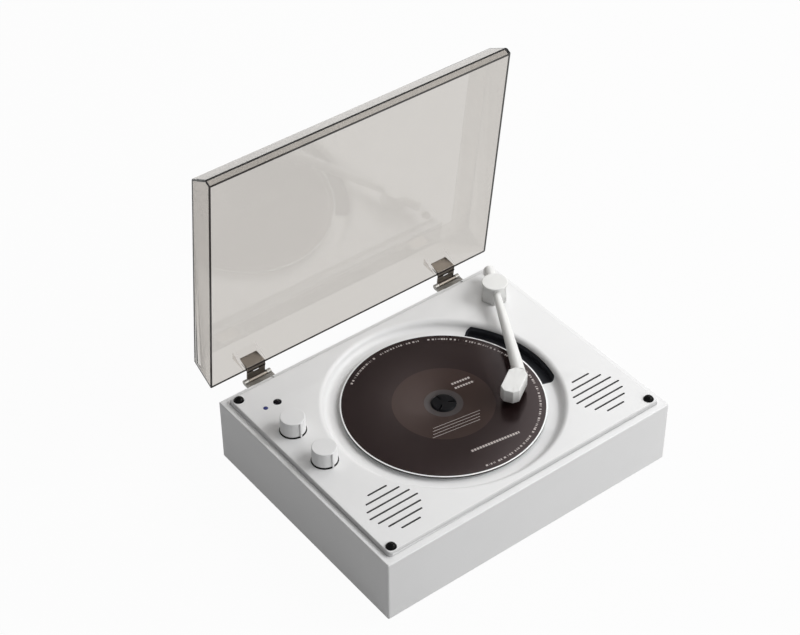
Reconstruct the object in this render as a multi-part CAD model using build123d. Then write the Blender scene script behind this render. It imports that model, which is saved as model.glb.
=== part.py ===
from build123d import *
import math
import os

# Table-top compact disc player, styled like a record deck: a box with a raised deck, a disc in a
# round well, a tonearm that starts and stops the play, two knobs and a hinged dust cover.
# Millimetres, +Z up, +X to the right and -Y to the front. The origin is on the spindle axis, in
# the plane that the feet stand on. The dust cover is drawn shut and then turned open.

# ---- Driving sizes: disc, and the round well and finger recess that it lies in
disc_radius = 60.0
disc_thickness = 1.2
disc_hole_radius = 7.5
disc_lift = 1.5
well_margin = 5.5
well_slope = 7.0
well_depth = 5.4
well_wall = 2.0
spindle_opening_radius = 16.5
recess_overlap = 4.0
recess_inset = 3.3
recess_start = -20.0
recess_end = 40.0
recess_corner = 3.0
recess_depth = 2.6
recess_wall = 1.0
recess_clearance = 0.1
recess_drop = 0.3

# ---- Driving sizes: raised deck and its screws. The strips lie between the well and the deck's edges
side_strip = 25.0
end_strip = 3.6
deck_rise = 2.7
deck_thickness = 2.2
deck_corner = 2.4
deck_edge = 1.0
deck_seat_depth = 3.2
deck_skirt = 1.8
ledge_width = 3.0
ledge_thickness = 1.8
screw_inset_x = 4.3
screw_inset_y = 4.1
post_radius = 4.0
screw_radius = 1.3
screw_head_radius = 2.4
screw_head_height = 1.6
screw_length = 9.0
screw_clearance = 0.3
plug_radius = 3.05
plug_height = 2.3
plug_stem = 1.0

# ---- Driving sizes: case, whose shoulder runs round the deck, and feet
shoulder_side = 4.3
shoulder_end = 4.35
case_height = 42.3
case_wall = 2.2
case_corner = 1.0
shoulder_edge = 0.5
base_thickness = 2.2
seam = 0.25
foot_height = 1.6
foot_radius = 7.0
foot_recess = 0.5
foot_inset = 22.0

# ---- Driving sizes: speakers
speaker_inset_x = 23.3
speaker_inset_y = 26.4
speaker_gap = 0.3
slot_pitch = 5.06
slot_width = 1.2
slot_lengths = (33.0, 29.4, 23.2, 13.2)
speaker_flange = 1.2
speaker_depth = 10.0
magnet_radius = 10.0
magnet_height = 5.0
frame_wall = 1.0

# ---- Driving sizes: knobs and controls
knob_inset_y = 43.2
knob_pitch = 30.5
knob_clearance = 2.25
knob_radius = 7.4
knob_top_radius = 7.2
knob_height = 10.4
knob_sink = 1.0
knob_recess_radius = 7.95
knob_recess_depth = 1.4
knob_boss_wall = 1.4
knob_edge = 0.5
rib_width = 1.1
rib_reach = 0.9
running_gap = 0.05
shaft_radius = 3.0
shaft_sink = 6.0
bushing_wall = 0.9
pot_size = 14.0
pot_height = 7.0
window_inset_x = 21.0
window_inset_y = 18.8
window_radius = 2.45
lamp_inset_x = 12.7
lamp_inset_y = 19.0
lamp_radius = 1.4
dome_rise = 0.8
sensor_board_drop = 5.0
sensor_board_margin = 4.0

# ---- Driving sizes: tonearm
pivot_inset_x = 16.2
pivot_inset_y = 23.7
arm_azimuth = 241.3
arm_length = 75.0
arm_height = 8.0
arm_drop = 2.9
arm_start_radius = 2.2
arm_end_radius = 3.9
arm_socket = 2.0
turret_radius = 8.6
turret_turn = -12.3
turret_draft = 4.5
turret_gap = 0.3
turret_height = 11.0
cap_radius = 7.9
cap_thickness = 1.5
weight_radius = 3.6
weight_length = 17.8
weight_height = 7.3
weight_edge = 0.4
head_reach = 10.0
head_bearing = -3.4
head_turn = -29.4
head_length = 21.0
head_width = 11.4
head_chamfer = 2.9
head_edge = 0.4
head_low = 0.4
head_height = 8.8
arm_shaft_radius = 2.5
bearing_wall = 2.2
bearing_length = 9.0
bearing_flange = 1.2
arm_shaft_rise = 3.4
cam_radius = 5.0
cam_thickness = 2.0
cam_flat = 3.5
arm_switch_size = 8.0

# ---- Driving sizes: dust cover and hinges
cover_overhang = 0.8
cover_rear_inset = 1.85
cover_front_inset = 2.6
cover_gap = 0.3
cover_wall = 1.4
lip_reach = 1.5
lip_height = 3.8
cover_front_height = 16.8
cover_front_set = 7.2
cover_rear_height = 17.5
cover_rear_set = 7.7
cover_corner = 1.2
open_angle = 83.7
hinge_inset = 30.8
hinge_reach = 5.6
barrel_radius = 1.7
barrel_width = 18.6
hinge_drop = 1.9
knuckle_width = 12.6
knuckle_gap = 0.2
pin_radius = 1.0
leaf_thickness = 1.15
leaf_height = 15.0
strap_thickness = 0.8
strap_window_width = 7.6
strap_window_length = 3.4
clip_height = 8.4
clip_outer_height = 6.0
clip_side_gap = 0.4
clip_top_gap = 2.4
clip_fit = 0.05
leaf_screw_spacing = 11.0
leaf_screw_drop = 6.5

# ---- Driving sizes: the works under the deck
platter_radius = 14.0
platter_thickness = 1.8
hub_radius = 7.42
hub_rise = 0.8
hub_slit = 0.9
motor_shaft_radius = 1.0
motor_radius = 12.0
motor_height = 11.0
motor_edge = 1.0
motor_boss_radius = 3.0
hub_neck_radius = 3.0
chassis_thickness = 2.0
chassis_drop = 14.0
chassis_front = -20.0
chassis_width = 54.0
damper_radius = 3.6
damper_height = 5.0
damper_groove = 0.8
damper_screw_head = 1.0
chassis_post_radius = 1.7
chassis_post_inset = 4.0
chassis_screw_radius = 0.9
guide_radius = 1.5
guide_spacing = 28.0
ear_thickness = 3.0
ear_gap = 0.5
sled_length = 16.0
sled_width = 36.0
sled_height = 8.0
sled_lift = 1.5
guide_cover = 1.0
lens_radius = 3.2
lens_height = 4.0
lens_top_radius = 2.2
lens_edge = 0.8
lens_window_width = 15.0
lens_start = 23.0
lens_clearance = 0.8
sled_travel = 33.0

# ---- Driving sizes: electrics and rear panel
board_thickness = 1.6
board_lift = 6.0
jack_x = -45.0
jack_radius = 3.3
jack_bore_radius = 1.8
jack_length = 12.0
jack_flange = 1.0
socket_height = 16.0
inlet_x = -30.0
inlet_width = 9.0
inlet_opening_height = 3.2
inlet_wall = 0.4
inlet_length = 7.3
inlet_tongue_width = 6.6
inlet_tongue_height = 0.8
inlet_tongue_set = 1.0
switch_x = -60.0
switch_slot_width = 9.0
switch_slot_height = 3.6
switch_travel = 3.0
switch_tab_width = 4.6
switch_tab_height = 2.8
switch_tab_reach = 1.0
switch_wall = 1.8
switch_depth = 6.0
board_inset = 9.6
board_rear_inset = 18.25
board_width = 57.0
board_depth = 80.0
chip_size = 18.0
chip_inset = 12.0
driver_width = 10.0
driver_length = 16.0
chip_height = 2.0
capacitor_radius = 3.2
capacitor_height = 9.0
capacitor_pitch = 9.0
standoff_inset = 4.0
standoff_radius = 2.5
keyhole_spacing = 100.0
keyhole_inset = 35.45
keyhole_radius = 4.25
keyhole_slot = 2.2
keyhole_length = 9.0
vent_count = 7
vent_pitch = 6.0
vent_width = 2.0
vent_length = 34.0

# ---- Levels and outlines that follow from the driving sizes
base_z = foot_height
base_top_z = base_z + base_thickness
shoulder_z = base_z + case_height
deck_z = shoulder_z + deck_rise
deck_under_z = deck_z - deck_thickness
seat_z = shoulder_z - deck_seat_depth
frame_z = seat_z - ledge_thickness
floor_z = deck_z - well_depth
floor_under_z = floor_z - well_wall
disc_z = floor_z + disc_lift
recess_z = floor_z - recess_depth
well_floor_radius = disc_radius + well_margin
well_lip_radius = well_floor_radius + well_slope
recess_inner_radius = disc_radius - recess_overlap
recess_outer_radius = well_lip_radius - recess_inset
deck_width = 2 * (well_lip_radius + side_strip)
deck_depth = 2 * (well_lip_radius + end_strip)
case_width = deck_width + 2 * shoulder_side
case_depth = deck_depth + 2 * shoulder_end
rear_y = case_depth / 2
inner_width = case_width - 2 * case_wall
inner_depth = case_depth - 2 * case_wall
screw_x = deck_width / 2 - screw_inset_x
screw_y = deck_depth / 2 - screw_inset_y
screw_places = [(x, y) for x in (-screw_x, screw_x) for y in (-screw_y, screw_y)]
pilot_radius = screw_radius + running_gap
speaker_x = deck_width / 2 - speaker_inset_x
speaker_y = speaker_inset_y - deck_depth / 2
speaker_radius = math.hypot(speaker_x, speaker_y) - well_lip_radius - well_wall - speaker_gap
slot_groups = [(-speaker_x, speaker_y), (speaker_x, speaker_y)]
knob_x = -(well_lip_radius + knob_clearance + knob_recess_radius)
volume_y = deck_depth / 2 - knob_inset_y
knob_places = {"volume": volume_y, "mode": volume_y - knob_pitch}
window_x = window_inset_x - deck_width / 2
window_y = deck_depth / 2 - window_inset_y
lamp_x = lamp_inset_x - deck_width / 2
lamp_y = deck_depth / 2 - lamp_inset_y
pivot_x = deck_width / 2 - pivot_inset_x
pivot_y = deck_depth / 2 - pivot_inset_y

LOW = (Align.CENTER, Align.CENTER, Align.MIN)
CORNER = (Align.MIN, Align.MIN, Align.MIN)


def rod(x, y, z_low, z_high, radius):
    """Upright cylinder between two heights."""
    return Pos(x, y, z_low) * Cylinder(radius, z_high - z_low, align=LOW)


def block(x_low, x_high, y_low, y_high, z_low, z_high):
    """Box between two corners."""
    return Pos(x_low, y_low, z_low) * Box(x_high - x_low, y_high - y_low, z_high - z_low, align=CORNER)


def slab(width, depth, corner, z_low, z_high):
    """Upright prism on a centred rectangle with rounded corners."""
    return Pos(0, 0, z_low) * extrude(RectangleRounded(width, depth, corner), z_high - z_low)


def turned(points):
    """Solid of revolution about the Z axis from the (radius, height) corners of its half section."""
    outline = Polyline([(r, 0, z) for r, z in points], close=True)
    return revolve(make_face(outline), Axis.Z)


def save(name, *shapes):
    """Write one sub-part, of one or more separate solids."""
    solids = [solid for shape in shapes for solid in shape.solids()]
    whole = solids[0] if len(solids) == 1 else Compound(children=solids)
    export_step(whole, f"parts/{name}.step")


def screw(x, y, z, radius, head_radius, head_height, length):
    """Cheese head screw that points down, its head's seat at height z."""
    return rod(x, y, z, z + head_height, head_radius) + rod(x, y, z - length, z, radius)


os.makedirs("parts", exist_ok=True)

# ---- Case shell: four walls and the shoulder, with a ledge that the deck drops onto and four posts
case_shell = slab(case_width, case_depth, case_corner, base_z, shoulder_z)
case_shell = chamfer(case_shell.edges().group_by(Axis.Z)[-1], shoulder_edge)
case_shell -= slab(inner_width, inner_depth, case_corner / 2, base_z, frame_z)
for depth_in, low, high in ((-seam, seat_z, shoulder_z), (ledge_width - seam, frame_z, seat_z)):
    hole_width = deck_width - 2 * depth_in
    hole_depth = deck_depth - 2 * depth_in
    case_shell -= slab(hole_width, hole_depth, deck_corner + seam, low, high)
for x, y in screw_places:
    case_shell += rod(x, y, base_top_z, seat_z, post_radius)
for x, y in screw_places:
    case_shell -= rod(x, y, seat_z - screw_length, seat_z, pilot_radius)
    case_shell -= rod(x, y, base_top_z, base_top_z + screw_length, pilot_radius)

# The rear wall's holes for the sockets and the power switch, and the shoulder's notches for the
# hinge straps, which lie in them when the cover is shut.
socket_z = base_z + socket_height


def rear_cylinder(x, z, y_low, y_high, radius):
    """Cylinder that lies along Y between two depths."""
    place = Plane(origin=(x, y_low, z), z_dir=(0, 1, 0))
    return place * Cylinder(radius, y_high - y_low, align=LOW)


def rear_box(x, z, width, height, y_low, y_high):
    """Box on the rear wall, centred at (x, z)."""
    return block(x - width / 2, x + width / 2, y_low, y_high, z - height / 2, z + height / 2)


wall_in_y = rear_y - case_wall
case_shell -= rear_cylinder(jack_x, socket_z, wall_in_y, rear_y, jack_radius + seam)
inlet_height = inlet_opening_height + 2 * inlet_wall
case_shell -= rear_box(inlet_x, socket_z, inlet_width + 2 * seam, inlet_height + 2 * seam, wall_in_y, rear_y)
case_shell -= rear_box(switch_x, socket_z, switch_slot_width, switch_slot_height, wall_in_y, rear_y)

hinge_x = case_width / 2 - hinge_inset
hinge_places = (-hinge_x, hinge_x)
rim_z = shoulder_z + cover_gap
hinge_y = rear_y + hinge_reach
hinge_z = rim_z - hinge_drop
strap_low_z = rim_z - strap_thickness
cover_rear_y = rear_y - cover_rear_inset
clip_inner_y = cover_rear_y - cover_wall - clip_fit - strap_thickness
notch_width = knuckle_width + 2 * clip_side_gap
for x in hinge_places:
    case_shell -= block(
        x - notch_width / 2, x + notch_width / 2, clip_inner_y - clip_side_gap, rear_y,
        strap_low_z - cover_gap, shoulder_z,
    )
leaf_low_z = hinge_z - leaf_height
leaf_screw_z = leaf_low_z + leaf_screw_drop
leaf_screws = [(x + side * leaf_screw_spacing / 2, leaf_screw_z) for x in hinge_places for side in (-1, 1)]
for x, z in leaf_screws:
    case_shell -= rear_cylinder(x, z, wall_in_y, rear_y, pilot_radius)
save("case_shell", case_shell)

# ---- Top deck: a tray turned upside down, with the round well sunk into it. The well's lip and foot
# are two equal arcs that meet half way down.
lip_mid = ((well_lip_radius + well_floor_radius) / 2, 0, (deck_z + floor_z) / 2)
air_profile = Polyline(
    (well_floor_radius, 0, floor_z), (0, 0, floor_z), (0, 0, deck_z + well_wall),
    (well_lip_radius, 0, deck_z + well_wall), (well_lip_radius, 0, deck_z),
)
lip_arc = TangentArc((well_lip_radius, 0, deck_z), lip_mid, tangent=(-1, 0, 0))
foot_arc = TangentArc((well_floor_radius, 0, floor_z), lip_mid, tangent=(1, 0, 0))
well_air = revolve(make_face(air_profile + lip_arc + foot_arc), Axis.Z)
well_bowl = turned([
    (0, floor_under_z), (well_floor_radius + well_wall, floor_under_z),
    (well_lip_radius + well_wall, deck_under_z), (0, deck_under_z),
])


def ring_sector(inner, outer, start, end, corner):
    """Flat ring sector between two angles, with rounded corners."""
    points = []
    for radius, angle in ((inner, start), (outer, start), (outer, end), (inner, end)):
        points.append((radius * math.cos(math.radians(angle)), radius * math.sin(math.radians(angle))))
    middle = math.radians((start + end) / 2)
    outer_mid = (outer * math.cos(middle), outer * math.sin(middle))
    inner_mid = (inner * math.cos(middle), inner * math.sin(middle))
    outline = Line(points[0], points[1]) + ThreePointArc(points[1], outer_mid, points[2])
    outline += Line(points[2], points[3]) + ThreePointArc(points[3], inner_mid, points[0])
    face = make_face(outline)
    return fillet(face.vertices(), corner)


def recess_prism(grow, low, high):
    """The finger recess's outline, grown outwards and raised between two heights."""
    turn = math.degrees(2 * grow / (recess_inner_radius + recess_outer_radius))
    face = ring_sector(
        recess_inner_radius - grow, recess_outer_radius + grow,
        recess_start - turn, recess_end + turn, recess_corner + grow,
    )
    return Pos(0, 0, low) * extrude(face, high - low)


deck_block = slab(deck_width, deck_depth, deck_corner, seat_z, deck_z)
deck_block = fillet(deck_block.edges().group_by(Axis.Z)[-1], deck_edge)
top_deck = deck_block
pocket_width = deck_width - 2 * deck_skirt
pocket_depth = deck_depth - 2 * deck_skirt
top_deck -= slab(pocket_width, pocket_depth, deck_corner - deck_skirt, seat_z, deck_under_z)
top_deck += well_bowl
top_deck += recess_prism(recess_wall, recess_z, deck_under_z)
for x, y in screw_places:
    top_deck += rod(x, y, seat_z, deck_under_z, post_radius) & deck_block
knob_boss_z = deck_z - knob_recess_depth - knob_boss_wall
for y in knob_places.values():
    top_deck += rod(knob_x, y, knob_boss_z, deck_under_z, knob_recess_radius + knob_boss_wall)
chassis_z = floor_under_z - chassis_drop
lens_end = lens_start + sled_travel
chassis_rear = lens_end + sled_length / 2 + ear_gap + ear_thickness
chassis_posts = [
    (side * (chassis_width / 2 - chassis_post_inset), y)
    for side in (-1, 1)
    for y in (chassis_front + chassis_post_inset, chassis_rear - chassis_post_inset)
]
damper_low_z = chassis_z + (chassis_thickness - damper_height) / 2
damper_top_z = damper_low_z + damper_height
for x, y in chassis_posts:
    top_deck += rod(x, y, damper_top_z, deck_under_z, damper_radius)
    top_deck += rod(x, y, damper_low_z, damper_top_z, chassis_post_radius)
top_deck -= well_air
top_deck -= recess_prism(0, recess_z, deck_z)
for x, y in screw_places:
    top_deck -= rod(x, y, deck_z - deck_seat_depth, deck_z, plug_radius + recess_clearance)
    top_deck -= rod(x, y, seat_z, deck_z, pilot_radius)
for x, y in chassis_posts:
    top_deck -= rod(x, y, damper_low_z, damper_low_z + screw_length, chassis_screw_radius + running_gap)
for y in knob_places.values():
    top_deck -= rod(knob_x, y, deck_z - knob_recess_depth, deck_z, knob_recess_radius)
    top_deck -= rod(knob_x, y, knob_boss_z, deck_z, shaft_radius + bushing_wall + recess_clearance)
top_deck -= rod(window_x, window_y, deck_under_z, deck_z, window_radius + recess_clearance)
top_deck -= rod(lamp_x, lamp_y, deck_under_z, deck_z, lamp_radius + recess_clearance)
top_deck -= rod(pivot_x, pivot_y, deck_under_z, deck_z, arm_shaft_radius + bearing_wall)
top_deck -= rod(0, 0, floor_under_z, floor_z, spindle_opening_radius)
lens_half = lens_window_width / 2
lens_window_reach = lens_end + lens_radius + lens_clearance
top_deck -= block(-lens_half, lens_half, 0, lens_window_reach, floor_under_z, floor_z)
for x, y in slot_groups:
    for row, length in enumerate(slot_lengths):
        for side in {-1, 1} if row else {1}:
            opening = extrude(SlotOverall(length, slot_width), deck_thickness)
            top_deck -= Pos(x, y + side * row * slot_pitch, deck_under_z) * opening
save("top_deck", top_deck)

# ---- Finger recess: a black tray that closes the opening beside the disc. Its wall ends a little
# below the well's surface all the way round.
finger_recess = recess_prism(recess_wall, recess_z - recess_wall, recess_z)
finger_recess += recess_prism(-recess_clearance, recess_z, deck_z)
finger_recess -= recess_prism(-recess_clearance - recess_wall, recess_z, deck_z)
finger_recess -= Pos(0, 0, -recess_drop) * well_air
save("finger_recess", finger_recess)

# ---- Screws that hold the deck, under four domed rubber plugs
screw_seat_z = deck_z - deck_seat_depth
deck_screw_length = screw_seat_z - seat_z + screw_length - screw_clearance
save("deck_screws", *[
    screw(x, y, screw_seat_z, screw_radius, screw_head_radius, screw_head_height, deck_screw_length)
    for x, y in screw_places
])
plug_solids = []
dome_radius = (plug_radius**2 + plug_height**2) / (2 * plug_height)
for x, y in screw_places:
    dome = Pos(x, y, deck_z + plug_height - dome_radius) * Sphere(dome_radius)
    plug = rod(x, y, deck_z, deck_z + plug_height, plug_radius) & dome
    plug_solids.append(plug + rod(x, y, deck_z - plug_stem, deck_z, plug_radius))
save("screw_plugs", *plug_solids)

# ---- Receiver window and status lamp, on a small board below the deck
sensor_board_z = deck_under_z - sensor_board_drop


def lens_dome(x, y, radius, rise):
    """Round stem from the sensor board up through the deck, with a shallow dome."""
    sphere_radius = (radius**2 + rise**2) / (2 * rise)
    dome = Pos(x, y, deck_z + rise - sphere_radius) * Sphere(sphere_radius)
    return (rod(x, y, deck_z, deck_z + rise, radius) & dome) + rod(x, y, sensor_board_z, deck_z, radius)


save("receiver_window", lens_dome(window_x, window_y, window_radius, dome_rise))
save("status_lamp", lens_dome(lamp_x, lamp_y, lamp_radius, dome_rise / 2))
save("sensor_board", block(
    lamp_x - sensor_board_margin, window_x + sensor_board_margin,
    window_y - sensor_board_margin, window_y + sensor_board_margin,
    sensor_board_z - board_thickness, sensor_board_z,
))

# ---- Base cover: screwed to the posts from below, with vents, two keyholes and seats for the feet
base_width = inner_width - 2 * seam
base_depth = inner_depth - 2 * seam
foot_places = [
    (side_x * (case_width / 2 - foot_inset), side_y * (case_depth / 2 - foot_inset))
    for side_x in (-1, 1)
    for side_y in (-1, 1)
]
base_cover = slab(base_width, base_depth, case_corner / 2, base_z, base_top_z)
board_z = base_top_z + board_lift
board_low_x = board_inset - inner_width / 2
board_high_x = board_low_x + board_width
board_high_y = inner_depth / 2 - board_rear_inset
board_low_y = board_high_y - board_depth
keyhole_y = rear_y - keyhole_inset
for x in (board_low_x + standoff_inset, board_high_x - standoff_inset):
    for y in (board_low_y + standoff_inset, board_high_y - standoff_inset):
        base_cover += rod(x, y, base_top_z, board_z, standoff_radius)
for x, y in foot_places:
    base_cover -= rod(x, y, base_z, base_z + foot_recess, foot_radius + recess_clearance)
for x, y in screw_places:
    base_cover -= rod(x, y, base_z, base_z + base_thickness / 2, screw_head_radius + seam)
    base_cover -= rod(x, y, base_z, base_top_z, pilot_radius)
for x in (-keyhole_spacing / 2, keyhole_spacing / 2):
    base_cover -= rod(x, keyhole_y, base_z, base_top_z, keyhole_radius)
    base_cover -= block(
        x - keyhole_slot, x + keyhole_slot, keyhole_y, keyhole_y + keyhole_length, base_z, base_top_z
    )
    base_cover -= rod(x, keyhole_y + keyhole_length, base_z, base_top_z, keyhole_slot)
for row in range(vent_count):
    vent = extrude(SlotOverall(vent_length, vent_width), base_thickness)
    base_cover -= Pos(0, (row - (vent_count - 1) / 2) * vent_pitch, base_z) * vent
save("base_cover", base_cover)
foot_solids = []
for x, y in foot_places:
    foot = rod(x, y, 0, base_z + foot_recess, foot_radius)
    foot_solids.append(chamfer(foot.edges().group_by(Axis.Z)[0], foot_height / 3))
save("rubber_feet", *foot_solids)
base_head_height = base_thickness / 2
base_screw = screw(
    0, 0, 0, screw_radius, screw_head_radius, base_head_height, base_thickness / 2 + screw_length - seam
)
save("base_screws", *[
    Pos(x, y, base_z + base_thickness / 2) * Rot(180, 0, 0) * base_screw for x, y in screw_places
])

# ---- Two small loudspeakers under the slots: a pressed frame, a paper cone and a magnet
speaker_top_z = deck_under_z - seam
cone_foot_radius = magnet_radius / 2
speaker_low_z = speaker_top_z - speaker_depth
frame_solids, cone_solids, magnet_solids = [], [], []
for x, y in slot_groups:
    frame = turned([
        (magnet_radius - frame_wall, speaker_low_z), (magnet_radius, speaker_low_z),
        (magnet_radius + frame_wall, speaker_low_z + frame_wall),
        (speaker_radius - frame_wall, speaker_top_z - speaker_flange),
        (speaker_radius, speaker_top_z - speaker_flange), (speaker_radius, speaker_top_z),
        (speaker_radius - 2 * frame_wall, speaker_top_z),
        (speaker_radius - 2 * frame_wall, speaker_top_z - speaker_flange),
        (magnet_radius - frame_wall, speaker_low_z + frame_wall),
    ])
    magnet = rod(0, 0, speaker_low_z - magnet_height, speaker_low_z, magnet_radius)
    cone_top_radius = speaker_radius - 2 * frame_wall - recess_clearance
    cone_top_z = speaker_top_z - speaker_flange / 2
    cone = turned([
        (0, speaker_low_z + 2 * frame_wall), (cone_foot_radius, speaker_low_z + 2 * frame_wall),
        (cone_top_radius, cone_top_z - recess_clearance), (cone_top_radius, cone_top_z),
        (cone_top_radius - frame_wall, cone_top_z),
        (cone_foot_radius - frame_wall / 2, speaker_low_z + 3 * frame_wall),
        (0, speaker_low_z + 3 * frame_wall),
    ])
    voice_coil = rod(0, 0, speaker_low_z, speaker_low_z + 2 * frame_wall, cone_foot_radius)
    frame_solids.append(Pos(x, y) * frame)
    magnet_solids.append(Pos(x, y) * magnet)
    cone_solids.append(Pos(x, y) * (cone + voice_coil))
save("speaker_frames", *frame_solids)
save("speaker_magnets", *magnet_solids)
save("speaker_cones", *cone_solids)

# ---- Volume and mode knobs: each a tapered cap with a pointer rib, on a shaft in a potentiometer
knob_low_z = deck_z - knob_sink
knob_top_z = deck_z + knob_height
shaft_low_z = knob_boss_z - shaft_sink
shaft_top_z = deck_z + knob_height / 2
pot_solids = []
for name, y in knob_places.items():
    place = Pos(knob_x, y, knob_low_z)
    knob = place * Cone(knob_radius, knob_top_radius, knob_top_z - knob_low_z, align=LOW)
    knob = chamfer(knob.edges().group_by(Axis.Z)[-1], knob_edge)
    rib_low_z = deck_z + turret_gap
    knob += block(
        knob_x - rib_width / 2, knob_x + rib_width / 2, y - knob_recess_radius - rib_reach / 2, y,
        rib_low_z, knob_top_z - knob_edge,
    )
    knob -= rod(knob_x, y, knob_low_z, shaft_top_z, shaft_radius)
    save(f"{name}_knob", knob)
    save(f"{name}_shaft", rod(knob_x, y, shaft_low_z, shaft_top_z, shaft_radius))
    half = pot_size / 2
    pot = block(knob_x - half, knob_x + half, y - half, y + half, knob_boss_z - pot_height, knob_boss_z)
    pot += rod(knob_x, y, knob_boss_z, deck_z - knob_recess_depth, shaft_radius + bushing_wall)
    pot -= rod(knob_x, y, shaft_low_z - recess_clearance, deck_z, shaft_radius + running_gap)
    pot_solids.append(pot)
save("potentiometers", *pot_solids)

# ---- Tonearm: a six-sided turret with a round cap, a tapered tube, a headshell and a short
# counterweight, which all turn on one shaft in a flanged bush
arm_turn = math.radians(arm_azimuth)
arm_dir = Vector(math.cos(arm_turn), math.sin(arm_turn), 0)
pivot = Vector(pivot_x, pivot_y, 0)
arm_z = deck_z + arm_height
turret_low_z = deck_z + turret_gap
turret_top_z = deck_z + turret_height
cap_top_z = turret_top_z + cap_thickness
head_distance = arm_length + head_reach


def from_pivot(bearing, distance, z):
    """Point at a bearing from the tonearm's own azimuth and a distance from its pivot."""
    angle = math.radians(arm_azimuth + bearing)
    return Vector(pivot_x + distance * math.cos(angle), pivot_y + distance * math.sin(angle), z)


tube_start = from_pivot(0, arm_socket, arm_z)
tube_end = from_pivot(0, arm_length, arm_z - arm_drop)
tube_line = tube_end - tube_start
tube_place = Plane(origin=tube_start, z_dir=tube_line)
arm_tube = tube_place * Cone(arm_start_radius, arm_end_radius, tube_line.length, align=LOW)
weight_place = Plane(origin=from_pivot(180, arm_socket, deck_z + weight_height), z_dir=-arm_dir)
counterweight = weight_place * Cylinder(weight_radius, weight_length - arm_socket, align=LOW)
counterweight = chamfer(counterweight.edges().sort_by(Axis(tuple(pivot), tuple(-arm_dir)))[-1], weight_edge)
turret_place = Pos(pivot_x, pivot_y, turret_low_z) * Rot(0, 0, arm_azimuth + turret_turn)
hexagon = RegularPolygon(turret_radius, 6)
turret = turret_place * extrude(hexagon, turret_top_z - turret_low_z, taper=turret_draft)
turret -= arm_tube
turret -= counterweight
shaft_top = deck_z + arm_shaft_rise
turret -= rod(pivot_x, pivot_y, turret_low_z, shaft_top, arm_shaft_radius)
save("arm_turret", turret)
arm_cap = rod(pivot_x, pivot_y, turret_top_z, cap_top_z, cap_radius)
save("arm_cap", chamfer(arm_cap.edges().group_by(Axis.Z)[-1], cap_thickness / 3))
save("arm_tube", arm_tube)
save("counterweight", counterweight)
head_outline = chamfer(Rectangle(head_length, head_width).vertices(), head_chamfer)
head_place = Plane(origin=from_pivot(head_bearing, head_distance, deck_z + head_low))
head_place = head_place.rotated((0, 0, arm_azimuth + head_turn))
headshell = head_place * extrude(head_outline, head_height)
headshell = chamfer(headshell.edges().group_by(Axis.Z)[-1], head_edge) - arm_tube
save("headshell", headshell)

bearing_low_z = deck_z - bearing_length
bearing_radius = arm_shaft_radius + bearing_wall - running_gap
bearing = rod(pivot_x, pivot_y, bearing_low_z, deck_z, bearing_radius)
flange_radius = bearing_radius + bearing_wall
bearing += rod(pivot_x, pivot_y, deck_under_z - bearing_flange, deck_under_z, flange_radius)
bearing -= rod(pivot_x, pivot_y, bearing_low_z, deck_z, arm_shaft_radius + running_gap)
save("arm_bearing", bearing)
cam_top_z = bearing_low_z - turret_gap
cam_low_z = cam_top_z - cam_thickness
arm_shaft = rod(pivot_x, pivot_y, cam_low_z, shaft_top, arm_shaft_radius)
cam = rod(pivot_x, pivot_y, cam_low_z, cam_top_z, cam_radius)
flat_y = pivot_y + cam_flat
cam -= block(pivot_x - cam_radius, pivot_x, flat_y, pivot_y + cam_radius, cam_low_z, cam_top_z)
save("arm_shaft", arm_shaft + cam)
arm_switch_x = pivot_x - flange_radius - seam
half_switch = arm_switch_size / 2
arm_switch = block(
    arm_switch_x - arm_switch_size, arm_switch_x, pivot_y - half_switch, pivot_y + half_switch,
    cam_low_z, deck_under_z,
)
arm_switch += block(
    arm_switch_x, pivot_x - cam_radius - turret_gap, pivot_y - half_switch / 2, pivot_y,
    cam_low_z + cam_thickness / 3, cam_top_z - cam_thickness / 3,
)
save("arm_switch", arm_switch)

# ---- Dust cover: one clear moulding, drawn shut. Its side section is a polygon whose front edge
# leans out as a finger lip; two straight-backed pockets in its rear wall hold the hinge clips.
hinge_axis = Axis((0, hinge_y, hinge_z), (1, 0, 0))


def cover_section(corners):
    """Face in the YZ plane from (distance forward of the rear rim, height above the rim) corners."""
    return make_face(Polyline([(0, cover_rear_y - s, rim_z + d) for s, d in corners], close=True))


def across(face, width, x=0):
    """Prism of a YZ face, centred on x."""
    return Pos(x - width / 2, 0, 0) * extrude(face, width, dir=(1, 0, 0))


cover_length = case_depth - cover_rear_inset - cover_front_inset
cover_width = case_width + 2 * cover_overhang
upper_corners = [
    (cover_length + lip_reach, lip_height),
    (cover_length - cover_front_set, cover_front_height), (cover_rear_set, cover_rear_height),
]
cover = across(cover_section([(0, 0), (cover_length, 0)] + upper_corners), cover_width)
cover = fillet([e for e in cover.edges() if e.center().Z > rim_z + cover_front_height / 2], cover_corner)
pocket_half = knuckle_width / 2 + clip_side_gap
pocket_top = rim_z + clip_height + clip_top_gap
pocket_block_y = cover_rear_y - cover_rear_set
for x in hinge_places:
    cover += block(
        x - pocket_half - cover_wall, x + pocket_half + cover_wall, pocket_block_y, cover_rear_y,
        rim_z, pocket_top + cover_wall,
    )
# The hollow follows the same section, whose rear and front walls run on below the rim.
below = 2 * cover_wall
rear_lean = cover_rear_set / cover_rear_height
front_lean = lip_reach / lip_height
lower_corners = [(-below * rear_lean, -below), (cover_length - below * front_lean, -below)]
hollow_face = offset(cover_section(lower_corners + upper_corners), -cover_wall, kind=Kind.INTERSECTION)
cover -= across(hollow_face, cover_width - 2 * cover_wall)
for x in hinge_places:
    cover -= block(
        x - pocket_half, x + pocket_half,
        pocket_block_y - cover_wall, cover_rear_y - cover_wall, rim_z, pocket_top,
    )
save("dust_cover", cover.rotate(hinge_axis, -open_angle))

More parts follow.
